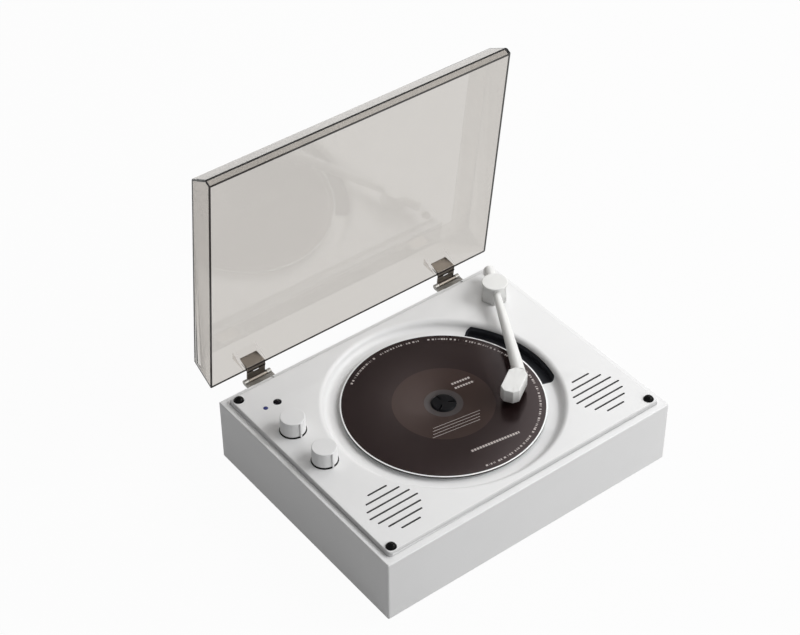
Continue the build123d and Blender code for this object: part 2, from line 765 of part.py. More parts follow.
# ---- Hinges: a leaf screwed to the rear wall with two knuckles, and a moving strap whose U-shaped
# clip grips the cover's rear rim
def along_x(x_low, x_high, y, z, radius):
    """Cylinder that lies along X between two places."""
    return Plane(origin=(x_low, y, z), z_dir=(1, 0, 0)) * Cylinder(radius, x_high - x_low, align=LOW)


outer_half = barrel_width / 2
knuckle_half = knuckle_width / 2
leaf_solids, pin_solids, clip_solids = [], [], []
for x in hinge_places:
    leaf = block(x - outer_half, x + outer_half, rear_y, rear_y + leaf_thickness, leaf_low_z, hinge_z)
    for low, high in ((-outer_half, -knuckle_half - knuckle_gap), (knuckle_half + knuckle_gap, outer_half)):
        leaf += block(x + low, x + high, rear_y, hinge_y, hinge_z - barrel_radius, hinge_z)
        leaf += along_x(x + low, x + high, hinge_y, hinge_z, barrel_radius)
    leaf -= along_x(x - outer_half, x + outer_half, hinge_y, hinge_z, pin_radius)
    for side in (-1, 1):
        hole_x = x + side * leaf_screw_spacing / 2
        leaf -= rear_cylinder(hole_x, leaf_screw_z, rear_y, rear_y + leaf_thickness, pilot_radius)
    leaf_solids.append(leaf)
    pin_solids.append(along_x(x - outer_half, x + outer_half, hinge_y, hinge_z, pin_radius))

    clip = block(x - knuckle_half, x + knuckle_half, clip_inner_y, hinge_y, strap_low_z, rim_z)
    clip += along_x(x - knuckle_half, x + knuckle_half, hinge_y, hinge_z, barrel_radius)
    window_y_low = rear_y - strap_window_length / 2 + strap_thickness
    clip -= block(
        x - strap_window_width / 2, x + strap_window_width / 2,
        window_y_low, window_y_low + strap_window_length, strap_low_z, rim_z,
    )
    clip += block(
        x - knuckle_half, x + knuckle_half, clip_inner_y, clip_inner_y + strap_thickness,
        rim_z, rim_z + clip_height,
    )
    outer_y = cover_rear_y + clip_fit
    clip += block(
        x - knuckle_half, x + knuckle_half, outer_y, outer_y + strap_thickness,
        rim_z, rim_z + clip_outer_height,
    )
    clip -= along_x(x - outer_half, x + outer_half, hinge_y, hinge_z, pin_radius + running_gap)
    clip_solids.append(clip.rotate(hinge_axis, -open_angle))
save("hinge_leaves", *leaf_solids)
save("hinge_pins", *pin_solids)
save("hinge_clips", *clip_solids)
leaf_screw_length = leaf_thickness + case_wall
leaf_screw = screw(0, 0, 0, screw_radius, screw_head_radius, screw_head_height / 2, leaf_screw_length)
rear_place = Rot(-90, 0, 0)
save("hinge_screws", *[
    Pos(x, rear_y + leaf_thickness, z) * rear_place * leaf_screw for x, z in leaf_screws
])

# ---- Disc, spindle hub and motor shaft, which turn together
motor_low_z = chassis_z - motor_height
hub_top_z = disc_z + disc_thickness + hub_rise
shaft_end_z = disc_z
hub_neck_z = chassis_z + chassis_thickness + hub_neck_radius
platter_low_z = disc_z - platter_thickness
hub = rod(0, 0, platter_low_z, disc_z, platter_radius)
boss = rod(0, 0, disc_z, hub_top_z, hub_radius)
boss = chamfer(boss.edges().group_by(Axis.Z)[-1], hub_rise)
for turn in range(3):
    slit = block(hub_radius / 3, hub_radius, -hub_slit / 2, hub_slit / 2, disc_z, hub_top_z)
    boss -= Rot(0, 0, 120 * turn + 90) * slit
hub += boss + rod(0, 0, hub_neck_z, platter_low_z, hub_neck_radius)
hub -= rod(0, 0, hub_neck_z, shaft_end_z, motor_shaft_radius)
save("spindle_hub", hub)
compact_disc = rod(0, 0, disc_z, disc_z + disc_thickness, disc_radius)
compact_disc -= rod(0, 0, disc_z, disc_z + disc_thickness, disc_hole_radius)
save("compact_disc", compact_disc)
motor_bore_z = motor_low_z + motor_height / 3
save("motor_shaft", rod(0, 0, motor_bore_z + running_gap, shaft_end_z, motor_shaft_radius))
motor = rod(0, 0, motor_low_z, chassis_z, motor_radius)
motor = chamfer(motor.edges().group_by(Axis.Z)[0], motor_edge)
motor += rod(0, 0, chassis_z, chassis_z + chassis_thickness, motor_boss_radius)
motor -= rod(0, 0, motor_bore_z, chassis_z + chassis_thickness, motor_shaft_radius + running_gap)
save("spindle_motor", motor)

# ---- Traverse chassis: a plate that hangs from the deck on four rubber dampers and carries the
# spindle motor and two guide rods, on which the pickup sled slides away from the spindle
sled_low_z = chassis_z + chassis_thickness + sled_lift
guide_z = sled_low_z + sled_height / 2
ear_front = lens_start - sled_length / 2 - ear_gap - ear_thickness
half_chassis = chassis_width / 2
chassis = block(
    -half_chassis, half_chassis, chassis_front, chassis_rear, chassis_z, chassis_z + chassis_thickness
)
chassis = fillet(chassis.edges().filter_by(Axis.Z), deck_corner)
half_guides = guide_spacing / 2
ear_width = guide_radius + ear_thickness
for x in (-half_guides, half_guides):
    for y in (ear_front, chassis_rear - ear_thickness):
        ear = block(x - ear_width, x + ear_width, y, y + ear_thickness, chassis_z, guide_z + ear_width)
        chassis += fillet(ear.edges().filter_by(Axis.Y).group_by(Axis.Z)[-1], ear_width / 2)
for x in (-half_guides, half_guides):
    guide_hole = Plane(origin=(x, ear_front, guide_z), z_dir=(0, 1, 0))
    chassis -= guide_hole * Cylinder(guide_radius, chassis_rear - ear_front, align=LOW)
chassis -= rod(0, 0, chassis_z, chassis_z + chassis_thickness, motor_boss_radius + running_gap)
groove_radius = damper_radius - damper_groove
for x, y in chassis_posts:
    chassis -= rod(x, y, chassis_z, chassis_z + chassis_thickness, groove_radius + running_gap)
window_half = sled_width / 2 - ear_width
chassis -= block(
    -window_half, window_half, ear_front + 2 * ear_thickness, chassis_rear - 2 * ear_thickness,
    chassis_z, chassis_z + chassis_thickness,
)
save("traverse_chassis", chassis)
guides = []
for x in (-half_guides, half_guides):
    guide_place = Plane(origin=(x, ear_front, guide_z), z_dir=(0, 1, 0))
    guides.append(guide_place * Cylinder(guide_radius, chassis_rear - ear_front, align=LOW))
save("guide_rods", *guides)

damper_solids, damper_screws = [], []
for x, y in chassis_posts:
    damper = turned([
        (chassis_post_radius + running_gap, damper_low_z), (damper_radius, damper_low_z),
        (damper_radius, chassis_z), (groove_radius, chassis_z),
        (groove_radius, chassis_z + chassis_thickness), (damper_radius, chassis_z + chassis_thickness),
        (damper_radius, damper_top_z), (chassis_post_radius + running_gap, damper_top_z),
    ])
    damper_solids.append(Pos(x, y) * damper)
    damper_screw = screw(
        0, 0, 0, chassis_screw_radius, damper_radius - running_gap, damper_screw_head, screw_length - seam
    )
    damper_screws.append(Pos(x, y, damper_low_z) * Rot(180, 0, 0) * damper_screw)
save("rubber_dampers", *damper_solids)
save("damper_screws", *damper_screws)

half_sled = sled_width / 2
sled = block(
    -half_sled, half_sled, lens_start - sled_length / 2, lens_start + sled_length / 2,
    sled_low_z, sled_low_z + sled_height,
)
for low, high in ((-half_sled, -lens_window_width / 2), (lens_window_width / 2, half_sled)):
    sled -= block(
        low, high, lens_start - sled_length / 2, lens_start + sled_length / 2,
        guide_z + guide_radius + guide_cover, sled_low_z + sled_height,
    )
for x in (-half_guides, half_guides):
    bore = Plane(origin=(x, lens_start - sled_length / 2, guide_z), z_dir=(0, 1, 0))
    sled -= bore * Cylinder(guide_radius + running_gap, sled_length, align=LOW)
save("pickup_sled", sled)
sled_top_z = sled_low_z + sled_height
lens = rod(0, lens_start, sled_top_z, sled_top_z + lens_height / 2, lens_radius)
lens += rod(0, lens_start, sled_top_z + lens_height / 2, sled_top_z + lens_height, lens_top_radius)
save("pickup_lens", chamfer(lens.edges().group_by(Axis.Z)[-1], lens_edge))

# ---- Main board on four standoffs of the base cover, with its chips and capacitors
board = block(board_low_x, board_high_x, board_low_y, board_high_y, board_z, board_z + board_thickness)
chip_z = board_z + board_thickness
chip_top_z = chip_z + chip_height
chip_x = board_low_x + chip_inset
chip_y = board_low_y + chip_inset
driver_x = board_high_x - board_thickness - driver_width
driver_y = board_low_y + board_depth / 2
board += block(chip_x, chip_x + chip_size, chip_y, chip_y + chip_size, chip_z, chip_top_z)
board += block(driver_x, driver_x + driver_width, driver_y, driver_y + driver_length, chip_z, chip_top_z)
for step in range(3):
    capacitor_x = chip_x + step * capacitor_pitch
    board += rod(capacitor_x, board_high_y - chip_inset, chip_z, chip_z + capacitor_height, capacitor_radius)
save("main_board", board)

# ---- Rear panel: audio jack, power inlet, and a slide switch with its finger tab
jack = rear_cylinder(jack_x, socket_z, rear_y - jack_length, rear_y, jack_radius)
jack_body = 2 * (jack_radius + jack_flange)
jack += rear_box(jack_x, socket_z, jack_body, jack_body, rear_y - jack_length, wall_in_y)
jack -= rear_cylinder(jack_x, socket_z, rear_y - jack_length, rear_y, jack_bore_radius)
save("audio_jack", jack)
inlet = rear_box(inlet_x, socket_z, inlet_width, inlet_height, rear_y - inlet_length, rear_y)
inlet_inner = inlet_width - 2 * inlet_wall
inlet -= rear_box(
    inlet_x, socket_z, inlet_inner, inlet_opening_height, rear_y - inlet_length + inlet_wall, rear_y
)
inlet += rear_box(
    inlet_x, socket_z, inlet_tongue_width, inlet_tongue_height,
    rear_y - inlet_length, rear_y - inlet_tongue_set,
)
save("power_inlet", inlet)
tab_start_x = switch_x - switch_travel / 2
switch_body_y = wall_in_y - turret_gap
switch_body = rear_box(
    switch_x, socket_z, switch_slot_width + 2 * switch_wall, switch_slot_height + 2 * switch_wall,
    switch_body_y - switch_depth, switch_body_y,
)
switch_body -= rear_box(
    switch_x, socket_z, switch_slot_width, switch_tab_height + 2 * turret_gap,
    switch_body_y - switch_depth / 2, switch_body_y,
)
save("power_switch", switch_body)
tab = rear_box(
    tab_start_x, socket_z, switch_tab_width, switch_tab_height,
    switch_body_y - switch_depth / 2 + turret_gap, rear_y + switch_tab_reach,
)
save("power_slider", tab)
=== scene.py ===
import math

import bmesh
import bpy
import numpy as np
from mathutils import Matrix, Vector


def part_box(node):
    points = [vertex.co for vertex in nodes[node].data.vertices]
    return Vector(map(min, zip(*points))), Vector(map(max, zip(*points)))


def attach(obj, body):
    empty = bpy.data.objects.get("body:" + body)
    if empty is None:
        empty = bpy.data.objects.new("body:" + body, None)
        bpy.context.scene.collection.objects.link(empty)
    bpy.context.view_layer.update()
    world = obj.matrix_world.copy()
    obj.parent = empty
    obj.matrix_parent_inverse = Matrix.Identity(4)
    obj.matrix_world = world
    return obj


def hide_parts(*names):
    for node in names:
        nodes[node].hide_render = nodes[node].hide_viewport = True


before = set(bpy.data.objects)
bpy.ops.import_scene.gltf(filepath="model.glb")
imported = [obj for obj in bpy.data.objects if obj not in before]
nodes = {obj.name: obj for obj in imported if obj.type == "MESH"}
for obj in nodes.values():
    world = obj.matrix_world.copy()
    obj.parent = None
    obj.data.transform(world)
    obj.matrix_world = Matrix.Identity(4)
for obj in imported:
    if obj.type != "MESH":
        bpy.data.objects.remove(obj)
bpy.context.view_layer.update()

# ---- Camera -----------------------------------------------------------------------------------
# A long lens above the left front corner, level apart from a touch of roll. The directions are
# worked out from azimuth, elevation and roll in the part's own frame.
camera_azimuth = math.radians(-37.40)
camera_elevation = math.radians(40.67)
camera_roll = math.radians(-0.38)
camera_place = Vector((-0.52354, -0.64396, 0.82182))
camera_lens = 88.77
camera_back = Vector((
    math.sin(camera_azimuth) * math.cos(camera_elevation),
    -math.cos(camera_azimuth) * math.cos(camera_elevation),
    math.sin(camera_elevation),
))
camera_level = (-camera_back).cross(Vector((0, 0, 1))).normalized()
camera_upright = camera_level.cross(-camera_back)
camera_right = math.cos(camera_roll) * camera_level + math.sin(camera_roll) * camera_upright
camera_up = -math.sin(camera_roll) * camera_level + math.cos(camera_roll) * camera_upright
camera_data = bpy.data.cameras.new("camera")
camera_data.lens = camera_lens
camera_data.sensor_width = 36
camera_data.clip_start = 0.05
camera_data.clip_end = 20
camera = bpy.data.objects.new("camera", camera_data)
camera.matrix_world = Matrix.Translation(camera_place) @ Matrix(
    (camera_right, camera_up, camera_back)
).transposed().to_4x4()
bpy.context.scene.collection.objects.link(camera)
bpy.context.scene.camera = camera
bpy.context.scene.view_settings.view_transform = "Standard"

# ---- Floor, backdrop and lamps ----------------------------------------------------------------
# A wide pale floor that runs out into a white surround. The camera, glossy and see-through rays
# meet white; everything else meets the even grey light that fills the shadows.
floor_reach = 6.0
floor_white = (0.45, 0.45, 0.45)
floor_seen = 0.965
surround_fill = 0.22
lamp_target = Vector((0, 0, 0.03))


def new_material(name):
    """A node material, its tree and its Principled shader, ready for links."""
    material = bpy.data.materials.new(name)
    material.use_nodes = True
    return material, material.node_tree, material.node_tree.nodes["Principled BSDF"]


def add_node(tree, kind, **settings):
    """Add a node of a kind and set its plain attributes."""
    node = tree.nodes.new(kind)
    for name, value in settings.items():
        setattr(node, name, value)
    return node


def join_socket(tree, socket, value):
    """Give a socket a constant, or link another node's output to it."""
    if isinstance(value, bpy.types.NodeSocket):
        tree.links.new(value, socket)
    else:
        socket.default_value = value


def feed(tree, node, **values):
    """Give a node's sockets constants or outputs. An underscore in a name stands for a space."""
    for name, value in values.items():
        join_socket(tree, node.inputs[name.replace("_", " ")], value)


def math_node(tree, operation, *values):
    """Output of a Math node over constants and outputs."""
    node = add_node(tree, "ShaderNodeMath", operation=operation)
    for socket, value in zip(node.inputs, values):
        join_socket(tree, socket, value)
    return node.outputs[0]


def white_to_view(tree):
    """Factor that is 1 for camera, glossy and transmission rays, and 0 for light's other paths."""
    path = add_node(tree, "ShaderNodeLightPath").outputs
    seen = math_node(tree, "MAXIMUM", path["Is Camera Ray"], path["Is Glossy Ray"])
    return math_node(tree, "MAXIMUM", seen, path["Is Transmission Ray"])


def end_in_mix(tree, factor, plain, seen, end):
    """Mix two shaders by a factor, and put the result on the surface of the output node."""
    mix = add_node(tree, "ShaderNodeMixShader")
    for socket, output in zip(mix.inputs, (factor, plain.outputs[0], seen.outputs[0])):
        tree.links.new(output, socket)
    feed(tree, tree.nodes[end], Surface=mix.outputs[0])


world = bpy.data.worlds.new("surround")
world.use_nodes = True
world_tree = world.node_tree
world_back = world_tree.nodes["Background"]
world_seen = add_node(world_tree, "ShaderNodeBackground")
feed(world_tree, world_back, Color=(1, 1, 1, 1), Strength=surround_fill)
feed(world_tree, world_seen, Color=(1, 1, 1, 1), Strength=1.0)
end_in_mix(world_tree, white_to_view(world_tree), world_back, world_seen, "World Output")
bpy.context.scene.world = world

floor_material, floor_tree, floor_shader = new_material("pale_floor")
floor_glow = add_node(floor_tree, "ShaderNodeEmission")
feed(floor_tree, floor_shader, Base_Color=(*floor_white, 1), Roughness=0.9, Specular_IOR_Level=0.0)
feed(floor_tree, floor_glow, Strength=1.0)
floor_share = math_node(floor_tree, "MULTIPLY", white_to_view(floor_tree), floor_seen)
end_in_mix(floor_tree, floor_share, floor_shader, floor_glow, "Material Output")
floor_corners = [(x * floor_reach, y * floor_reach, 0) for x, y in ((-1, -1), (1, -1), (1, 1), (-1, 1))]
floor_mesh = bpy.data.meshes.new("floor")
floor_mesh.from_pydata(floor_corners, [], [(0, 1, 2, 3)])
floor_mesh.materials.append(floor_material)
floor = bpy.data.objects.new("floor", floor_mesh)
bpy.context.scene.collection.objects.link(floor)


def soft_box(name, azimuth, elevation, distance, size, power):
    """Square area lamp at a bearing from the part's middle, facing it. Azimuth 0 is the front."""
    lamp_data = bpy.data.lights.new(name, "AREA")
    lamp_data.shape = "SQUARE"
    lamp_data.size = size
    lamp_data.energy = power
    lamp = bpy.data.objects.new(name, lamp_data)
    turn, rise = math.radians(azimuth), math.radians(elevation)
    out = Vector((math.sin(turn) * math.cos(rise), -math.cos(turn) * math.cos(rise), math.sin(rise)))
    lamp.location = lamp_target + out * distance
    lamp.rotation_euler = out.to_track_quat("Z", "Y").to_euler()
    bpy.context.scene.collection.objects.link(lamp)


soft_box("key_lamp", azimuth=60, elevation=40, distance=1.6, size=0.8, power=16.4)
soft_box("front_lamp", azimuth=20, elevation=30, distance=1.8, size=1.2, power=9.1)
soft_box("back_lamp", azimuth=120, elevation=45, distance=1.6, size=0.8, power=6.7)

# ---- Case shell, top deck and base cover ------------------------------------------------------
# White ABS mouldings with a fine satin skin. The deck drops into the case from above with an even
# seam round it, and the base closes the case from below. The deck's sides carry painted shade a
# tone darker than the moulding, and its knob wells and slot walls are painted dark as shade.
mm = 0.001
moulding_white = (0.79, 0.79, 0.79)
moulding_skin = {"gloss": 0.44, "grain": 2600.0, "drift": 0.02}
# Painted shade on the deck's sides: the moulding's white times this share, over a band this deep.
side_shade_share, side_depth = 0.74, 1.6 * mm
# Painted shade: near black in the knob wells, dark grey on the speaker slots' walls.
well_painted_shade, slot_painted_shade = (0.010, 0.010, 0.010), (0.12, 0.12, 0.12)
well_depth, well_reach, slot_reach = 2.9 * mm, 8.3 * mm, 17.4 * mm
sunk_start, level_normal, wall_normal = 0.02 * mm, 0.95, 0.3
drift_scale, gloss_scale, gloss_swing = 45.0, 400.0, 0.10
cad_crease, own_crease = math.radians(32), math.radians(50)


def surface_group(name, *inputs):
    """A node group that takes these inputs, each with its default, and puts out a colour, a
    roughness and a height. Its input and output nodes and the Object coordinates come with it."""
    group = bpy.data.node_groups.new(name, "ShaderNodeTree")
    for label, kind, value in inputs:
        group.interface.new_socket(label, in_out="INPUT", socket_type=kind).default_value = value
    for label, kind in (
        ("Colour", "NodeSocketColor"), ("Roughness", "NodeSocketFloat"), ("Height", "NodeSocketFloat"),
    ):
        group.interface.new_socket(label, in_out="OUTPUT", socket_type=kind)
    sides = add_node(group, "NodeGroupInput"), add_node(group, "NodeGroupOutput")
    return group, *sides, add_node(group, "ShaderNodeTexCoord").outputs["Object"]


def noise(tree, place, scale, detail):
    """Value of a noise over a place."""
    node = add_node(tree, "ShaderNodeTexNoise")
    feed(tree, node, Vector=place, Scale=scale, Detail=detail)
    return node.outputs["Fac"]


def scaled(tree, colour, factor):
    """A colour times a factor."""
    node = add_node(tree, "ShaderNodeVectorMath", operation="SCALE")
    tree.links.new(colour, node.inputs[0])
    tree.links.new(factor, node.inputs["Scale"])
    return node.outputs[0]


def skin_group():
    """Node group for moulded skins: a slow drift of the colour's value over centimetres, a faster
    drift of the roughness, and a fine grain that comes out as a height."""
    group, enter, leave, place = surface_group(
        "moulded_skin",
        ("Colour", "NodeSocketColor", (0.8, 0.8, 0.8, 1)), ("Drift", "NodeSocketFloat", 0.03),
        ("Gloss", "NodeSocketFloat", 0.4), ("Grain", "NodeSocketFloat", 2000.0),
    )
    centred = math_node(group, "MULTIPLY_ADD", noise(group, place, drift_scale, 3.0), 2.0, -1.0)
    swing = math_node(group, "MULTIPLY_ADD", centred, enter.outputs["Drift"], 1.0)
    least = math_node(group, "SUBTRACT", enter.outputs["Gloss"], gloss_swing / 2)
    rough = math_node(group, "MULTIPLY_ADD", noise(group, place, gloss_scale, 2.0), gloss_swing, least)
    grain = noise(group, place, enter.outputs["Grain"], 2.0)
    feed(group, leave, Colour=scaled(group, enter.outputs["Colour"], swing), Roughness=rough, Height=grain)
    return group


skin = skin_group()


def surface_material(name, group, values, depth, strength, plain):
    """Principled material that takes its colour, roughness and bump from a node group, and has
    plain constants on its other sockets."""
    material, tree, shader = new_material(name)
    surface = add_node(tree, "ShaderNodeGroup", node_tree=group)
    feed(tree, surface, **values)
    bump = add_node(tree, "ShaderNodeBump")
    feed(tree, bump, Distance=depth, Strength=strength, Height=surface.outputs["Height"])
    feed(tree, shader, Base_Color=surface.outputs["Colour"], Roughness=surface.outputs["Roughness"])
    feed(tree, shader, Normal=bump.outputs["Normal"], **plain)
    return material


def skin_material(name, colour, gloss, grain, drift, depth=0.02 * mm, strength=0.5, **plain):
    """Moulded finish. Its gloss is a roughness, its grain a scale, and its depth a bump's height."""
    values = {"Colour": (*colour, 1), "Gloss": gloss, "Grain": grain, "Drift": drift}
    return surface_material(name, skin, values, depth, strength, plain)


def smoothed(mesh, double, empty, crease, outwards=False):
    """Merge points within a distance, drop faces narrower than another, turn the faces outwards
    where asked, and smooth across the edges that turn by less than the crease."""
    work = bmesh.new()
    work.from_mesh(mesh)
    bmesh.ops.remove_doubles(work, verts=work.verts, dist=double)
    bmesh.ops.dissolve_degenerate(work, edges=work.edges, dist=empty)
    if outwards:
        bmesh.ops.recalc_face_normals(work, faces=work.faces)
    for face in work.faces:
        face.smooth = True
        face.material_index = 0
    for edge in work.edges:
        edge.smooth = edge.is_manifold and edge.calc_face_angle(0.0) < crease
    work.to_mesh(mesh)
    work.free()
    return mesh


def place_piece(name, mesh, material, body, slot, *replaced):
    """Put a mesh in the scene as a piece on a body, in the stead of the CAD nodes named."""
    mesh.name = name
    mesh.materials.append(material)
    piece = bpy.data.objects.new(name, mesh)
    bpy.context.scene.collection.objects.link(piece)
    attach(piece, body)
    if replaced:
        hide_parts(*replaced)
    return piece


def merged_copy(node, name, body, material, slot):
    """A copy of a CAD node with its loose triangles merged, smooth across gentle edges only. It
    takes the node's place."""
    mesh = nodes[node].data.copy()
    smoothed(mesh, double=0.002 * mm, empty=0.001 * mm, crease=cad_crease)
    mesh.materials.clear()
    return place_piece(name, mesh, material, body, slot, node)


def add_finish(piece, material):
    """Give a piece one more material, and return the index that its faces know it by."""
    piece.data.materials.append(material)
    return len(piece.data.materials) - 1


def box_middle(node):
    """Middle of a CAD node's box in plan."""
    low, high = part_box(node)
    return (low[0] + high[0]) / 2, (low[1] + high[1]) / 2


def within(x, y, places, reach):
    """Whether a point in plan is within a reach of one of the places."""
    return any(math.hypot(x - place_x, y - place_y) < reach for place_x, place_y in places)


white_moulding = skin_material("white_moulding", moulding_white, **moulding_skin)
merged_copy("case_shell", "case_moulding", "case", white_moulding, "white_plastic")
deck_piece = merged_copy("top_deck", "deck_moulding", "case", white_moulding, "white_plastic")
# The knob wells and the slot walls are painted dark as shade.
well_shade = skin_material("deck_well_shade", well_painted_shade, gloss=0.6, grain=1500.0, drift=0.1)
slot_shade = skin_material("deck_slot_shade", slot_painted_shade, gloss=0.6, grain=1500.0, drift=0.05)
side_shaded_white = [side_shade_share * channel for channel in moulding_white]
side_painted_shade = skin_material("deck_side_painted_shade", side_shaded_white, **moulding_skin)
in_well, in_slot, on_shaded_side = (add_finish(deck_piece, shade) for shade in (well_shade, slot_shade, side_painted_shade))
deck_low, deck_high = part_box("top_deck")
deck_top = deck_high[2]
control_wells = [box_middle(f"{control}_shaft") for control in ("volume", "mode")]
slot_low, slot_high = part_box("speaker_frames")
slot_radius = (slot_high[1] - slot_low[1]) / 2
slot_y = (slot_low[1] + slot_high[1]) / 2
slot_middles = [(slot_low[0] + slot_radius, slot_y), (slot_high[0] - slot_radius, slot_y)]
# Side faces take the sides' painted shade; sunk faces round the knobs and on the slot walls take dark painted
# shade.
for face in deck_piece.data.polygons:
    x, y, z = face.center
    inset = min(x - deck_low[0], deck_high[0] - x, y - deck_low[1], deck_high[1] - y)
    sunk = deck_top - well_depth < z < deck_top - sunk_start
    if inset < side_depth and z > deck_top - well_depth and face.normal.z < level_normal:
        face.material_index = on_shaded_side
    elif sunk and within(x, y, control_wells, well_reach):
        face.material_index = in_well
    elif sunk and abs(face.normal.z) < wall_normal and within(x, y, slot_middles, slot_reach):
        face.material_index = in_slot
merged_copy("base_cover", "base_moulding", "case", white_moulding, "white_plastic")

# ---- Volume and mode knobs --------------------------------------------------------------------
# Moulded white caps with a slight draft, an eased top edge and a fine pointer rib down the side.
# Each is undercut at its foot, and its neck there is painted near black as shade, which leaves a black gap
# over the well.
knob_taper, knob_edge, knob_foot_edge = 0.2 * mm, 0.5 * mm, 0.2 * mm
knob_lift, knob_undercut = 0.75 * mm, 0.9 * mm
rib_half, rib_edge, rib_height = 0.55 * mm, 0.18 * mm, 10.1 * mm
shade_slack, end_hold = 0.05 * mm, 0.15 * mm
turns, arc_steps = 96, 6
arc_share, lead_share = 0.49, 0.12


def rounded(corners, radii, closed=False):
    """Profile through 2-D corners with each corner turned into an arc of its radius. An arc starts
    radius * tan(half the turn) before its corner, and never past the middle of a side. One more
    point beyond each end of the arc keeps the flats beside it flat in the shading."""
    corners = np.asarray(corners, float)
    count = len(corners)
    points = []
    for i, corner in enumerate(corners):
        radius = radii[i] if hasattr(radii, "__len__") else radii
        if radius <= 0 or (not closed and i in (0, count - 1)):
            points.append(corner[None])
            continue
        back = corners[i - 1] - corner
        ahead = corners[(i + 1) % count] - corner
        back_length, ahead_length = np.linalg.norm(back), np.linalg.norm(ahead)
        back, ahead = back / back_length, ahead / ahead_length
        inside = math.acos(np.clip(back @ ahead, -1, 1))
        reach = min(radius / math.tan(inside / 2), arc_share * back_length, arc_share * ahead_length)
        middle = (back + ahead) / np.linalg.norm(back + ahead)
        centre = corner + middle * reach / math.cos(inside / 2)
        start, end = corner + back * reach - centre, corner + ahead * reach - centre
        sweep = math.pi - inside
        share = np.linspace(0, 1, arc_steps)[:, None]
        arc = (np.sin((1 - share) * sweep) * start + np.sin(share * sweep) * end) / math.sin(sweep)
        lead = lead_share * reach
        points.append(np.vstack((centre + start + back * lead, centre + arc, centre + end + ahead * lead)))
    return np.vstack(points)


def grid_mesh(points, close_along=False):
    """Mesh over a grid of points (rows, columns, xyz) that closes across: each cell is a quad, rows
    that shrink to a point become poles, and the faces are turned outwards."""
    rows, columns = points.shape[:2]
    index = np.arange(rows * columns).reshape(rows, columns)
    index = np.hstack((index, index[:, :1]))
    if close_along:
        index = np.vstack((index, index[:1]))
    quads = np.stack((index[:-1, :-1], index[:-1, 1:], index[1:, 1:], index[1:, :-1]), -1).reshape(-1, 4)
    mesh = bpy.data.meshes.new("surface")
    mesh.from_pydata(points.reshape(-1, 3).tolist(), [], quads.tolist())
    return smoothed(mesh, double=0.0005 * mm, empty=0.0001 * mm, crease=own_crease, outwards=True)


def carried(points, place):
    """Points carried by a placement matrix: turned, and then shifted."""
    return points @ np.array(place.to_3x3()).T + np.array(place.translation)


def lathe_points(profile, place=Matrix.Identity(4), count=turns):
    """Points of a turned form: each (radius, height) of the profile goes round the local Z axis,
    x = r cos a and y = r sin a, and the placement matrix carries the whole to its place."""
    angle = np.arange(count) * 2 * math.pi / count
    radius, height = profile[:, :1], profile[:, 1:]
    return carried(np.stack((radius * np.cos(angle), radius * np.sin(angle), height + 0 * angle), -1), place)


def prism_points(outline, rows):
    """Points of a prism with eased edges: each row is (height, inset), and the outline is moved
    inwards by the inset along its own normals. An end closes at the middle, after one more ring
    that keeps the end flat in the shading."""
    ahead = np.roll(outline, -1, 0) - np.roll(outline, 1, 0)
    ahead /= np.linalg.norm(ahead, axis=1, keepdims=True)
    inwards = np.stack((-ahead[:, 1], ahead[:, 0]), -1)
    (low, low_inset), (high, high_inset) = rows[0], rows[-1]
    rings = [(low, low_inset + end_hold), *rows, (high, high_inset + end_hold)]
    layers = [np.insert(outline + inwards * inset, 2, height, axis=1) for height, inset in rings]
    ends = [np.broadcast_to((*outline.mean(0), height), layers[0].shape) for height in (low, high)]
    return np.stack((ends[0], *layers, ends[1]))


def joined(meshes):
    """One mesh from several."""
    work = bmesh.new()
    for mesh in meshes:
        work.from_mesh(mesh)
        bpy.data.meshes.remove(mesh)
    whole = bpy.data.meshes.new("joined")
    work.to_mesh(whole)
    work.free()
    return whole


def moved(points, x, y):
    """Points carried by a shift in plan."""
    return points + np.array((x, y, 0.0))


skirt_z = deck_top + knob_lift
for control in ("volume", "mode"):
    knob_low, knob_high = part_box(f"{control}_knob")
    knob_x, knob_y = box_middle(f"{control}_shaft")
    knob_r = (knob_high[0] - knob_low[0]) / 2
    neck_r = knob_r - knob_undercut
    knob_profile = rounded(
        [(0, knob_low[2]), (neck_r, knob_low[2]), (neck_r, skirt_z), (knob_r, skirt_z),
         (knob_r - knob_taper, knob_high[2]), (0, knob_high[2])],
        [0, 0, 0, knob_foot_edge, knob_edge, 0],
    )
    rib_front = knob_low[1] - knob_y
    rib_low, rib_high = knob_high[2] - rib_height, knob_high[2] - knob_edge
    rib_outline = rounded(
        [(-rib_half, 0), (-rib_half, rib_front), (rib_half, rib_front), (rib_half, 0)], rib_edge, closed=True,
    )
    rib_rows = [(rib_low, rib_edge), (rib_low + rib_edge, 0), (rib_high - rib_edge, 0), (rib_high, rib_edge)]
    knob_parts = lathe_points(knob_profile), prism_points(rib_outline, rib_rows)
    knob_mesh = joined([grid_mesh(moved(points, knob_x, knob_y)) for points in knob_parts])
    knob_piece = place_piece(
        f"{control}_knob_cap", knob_mesh, white_moulding,
        f"{control}_control", "white_plastic", f"{control}_knob",
    )
    # The neck below the skirt takes the wells' near-black painted shade.
    in_gap = add_finish(knob_piece, well_shade)
    for face in knob_mesh.polygons:
        reach = math.hypot(face.center.x - knob_x, face.center.y - knob_y)
        if face.center.z < skirt_z + shade_slack and reach < neck_r + shade_slack:
            face.material_index = in_gap

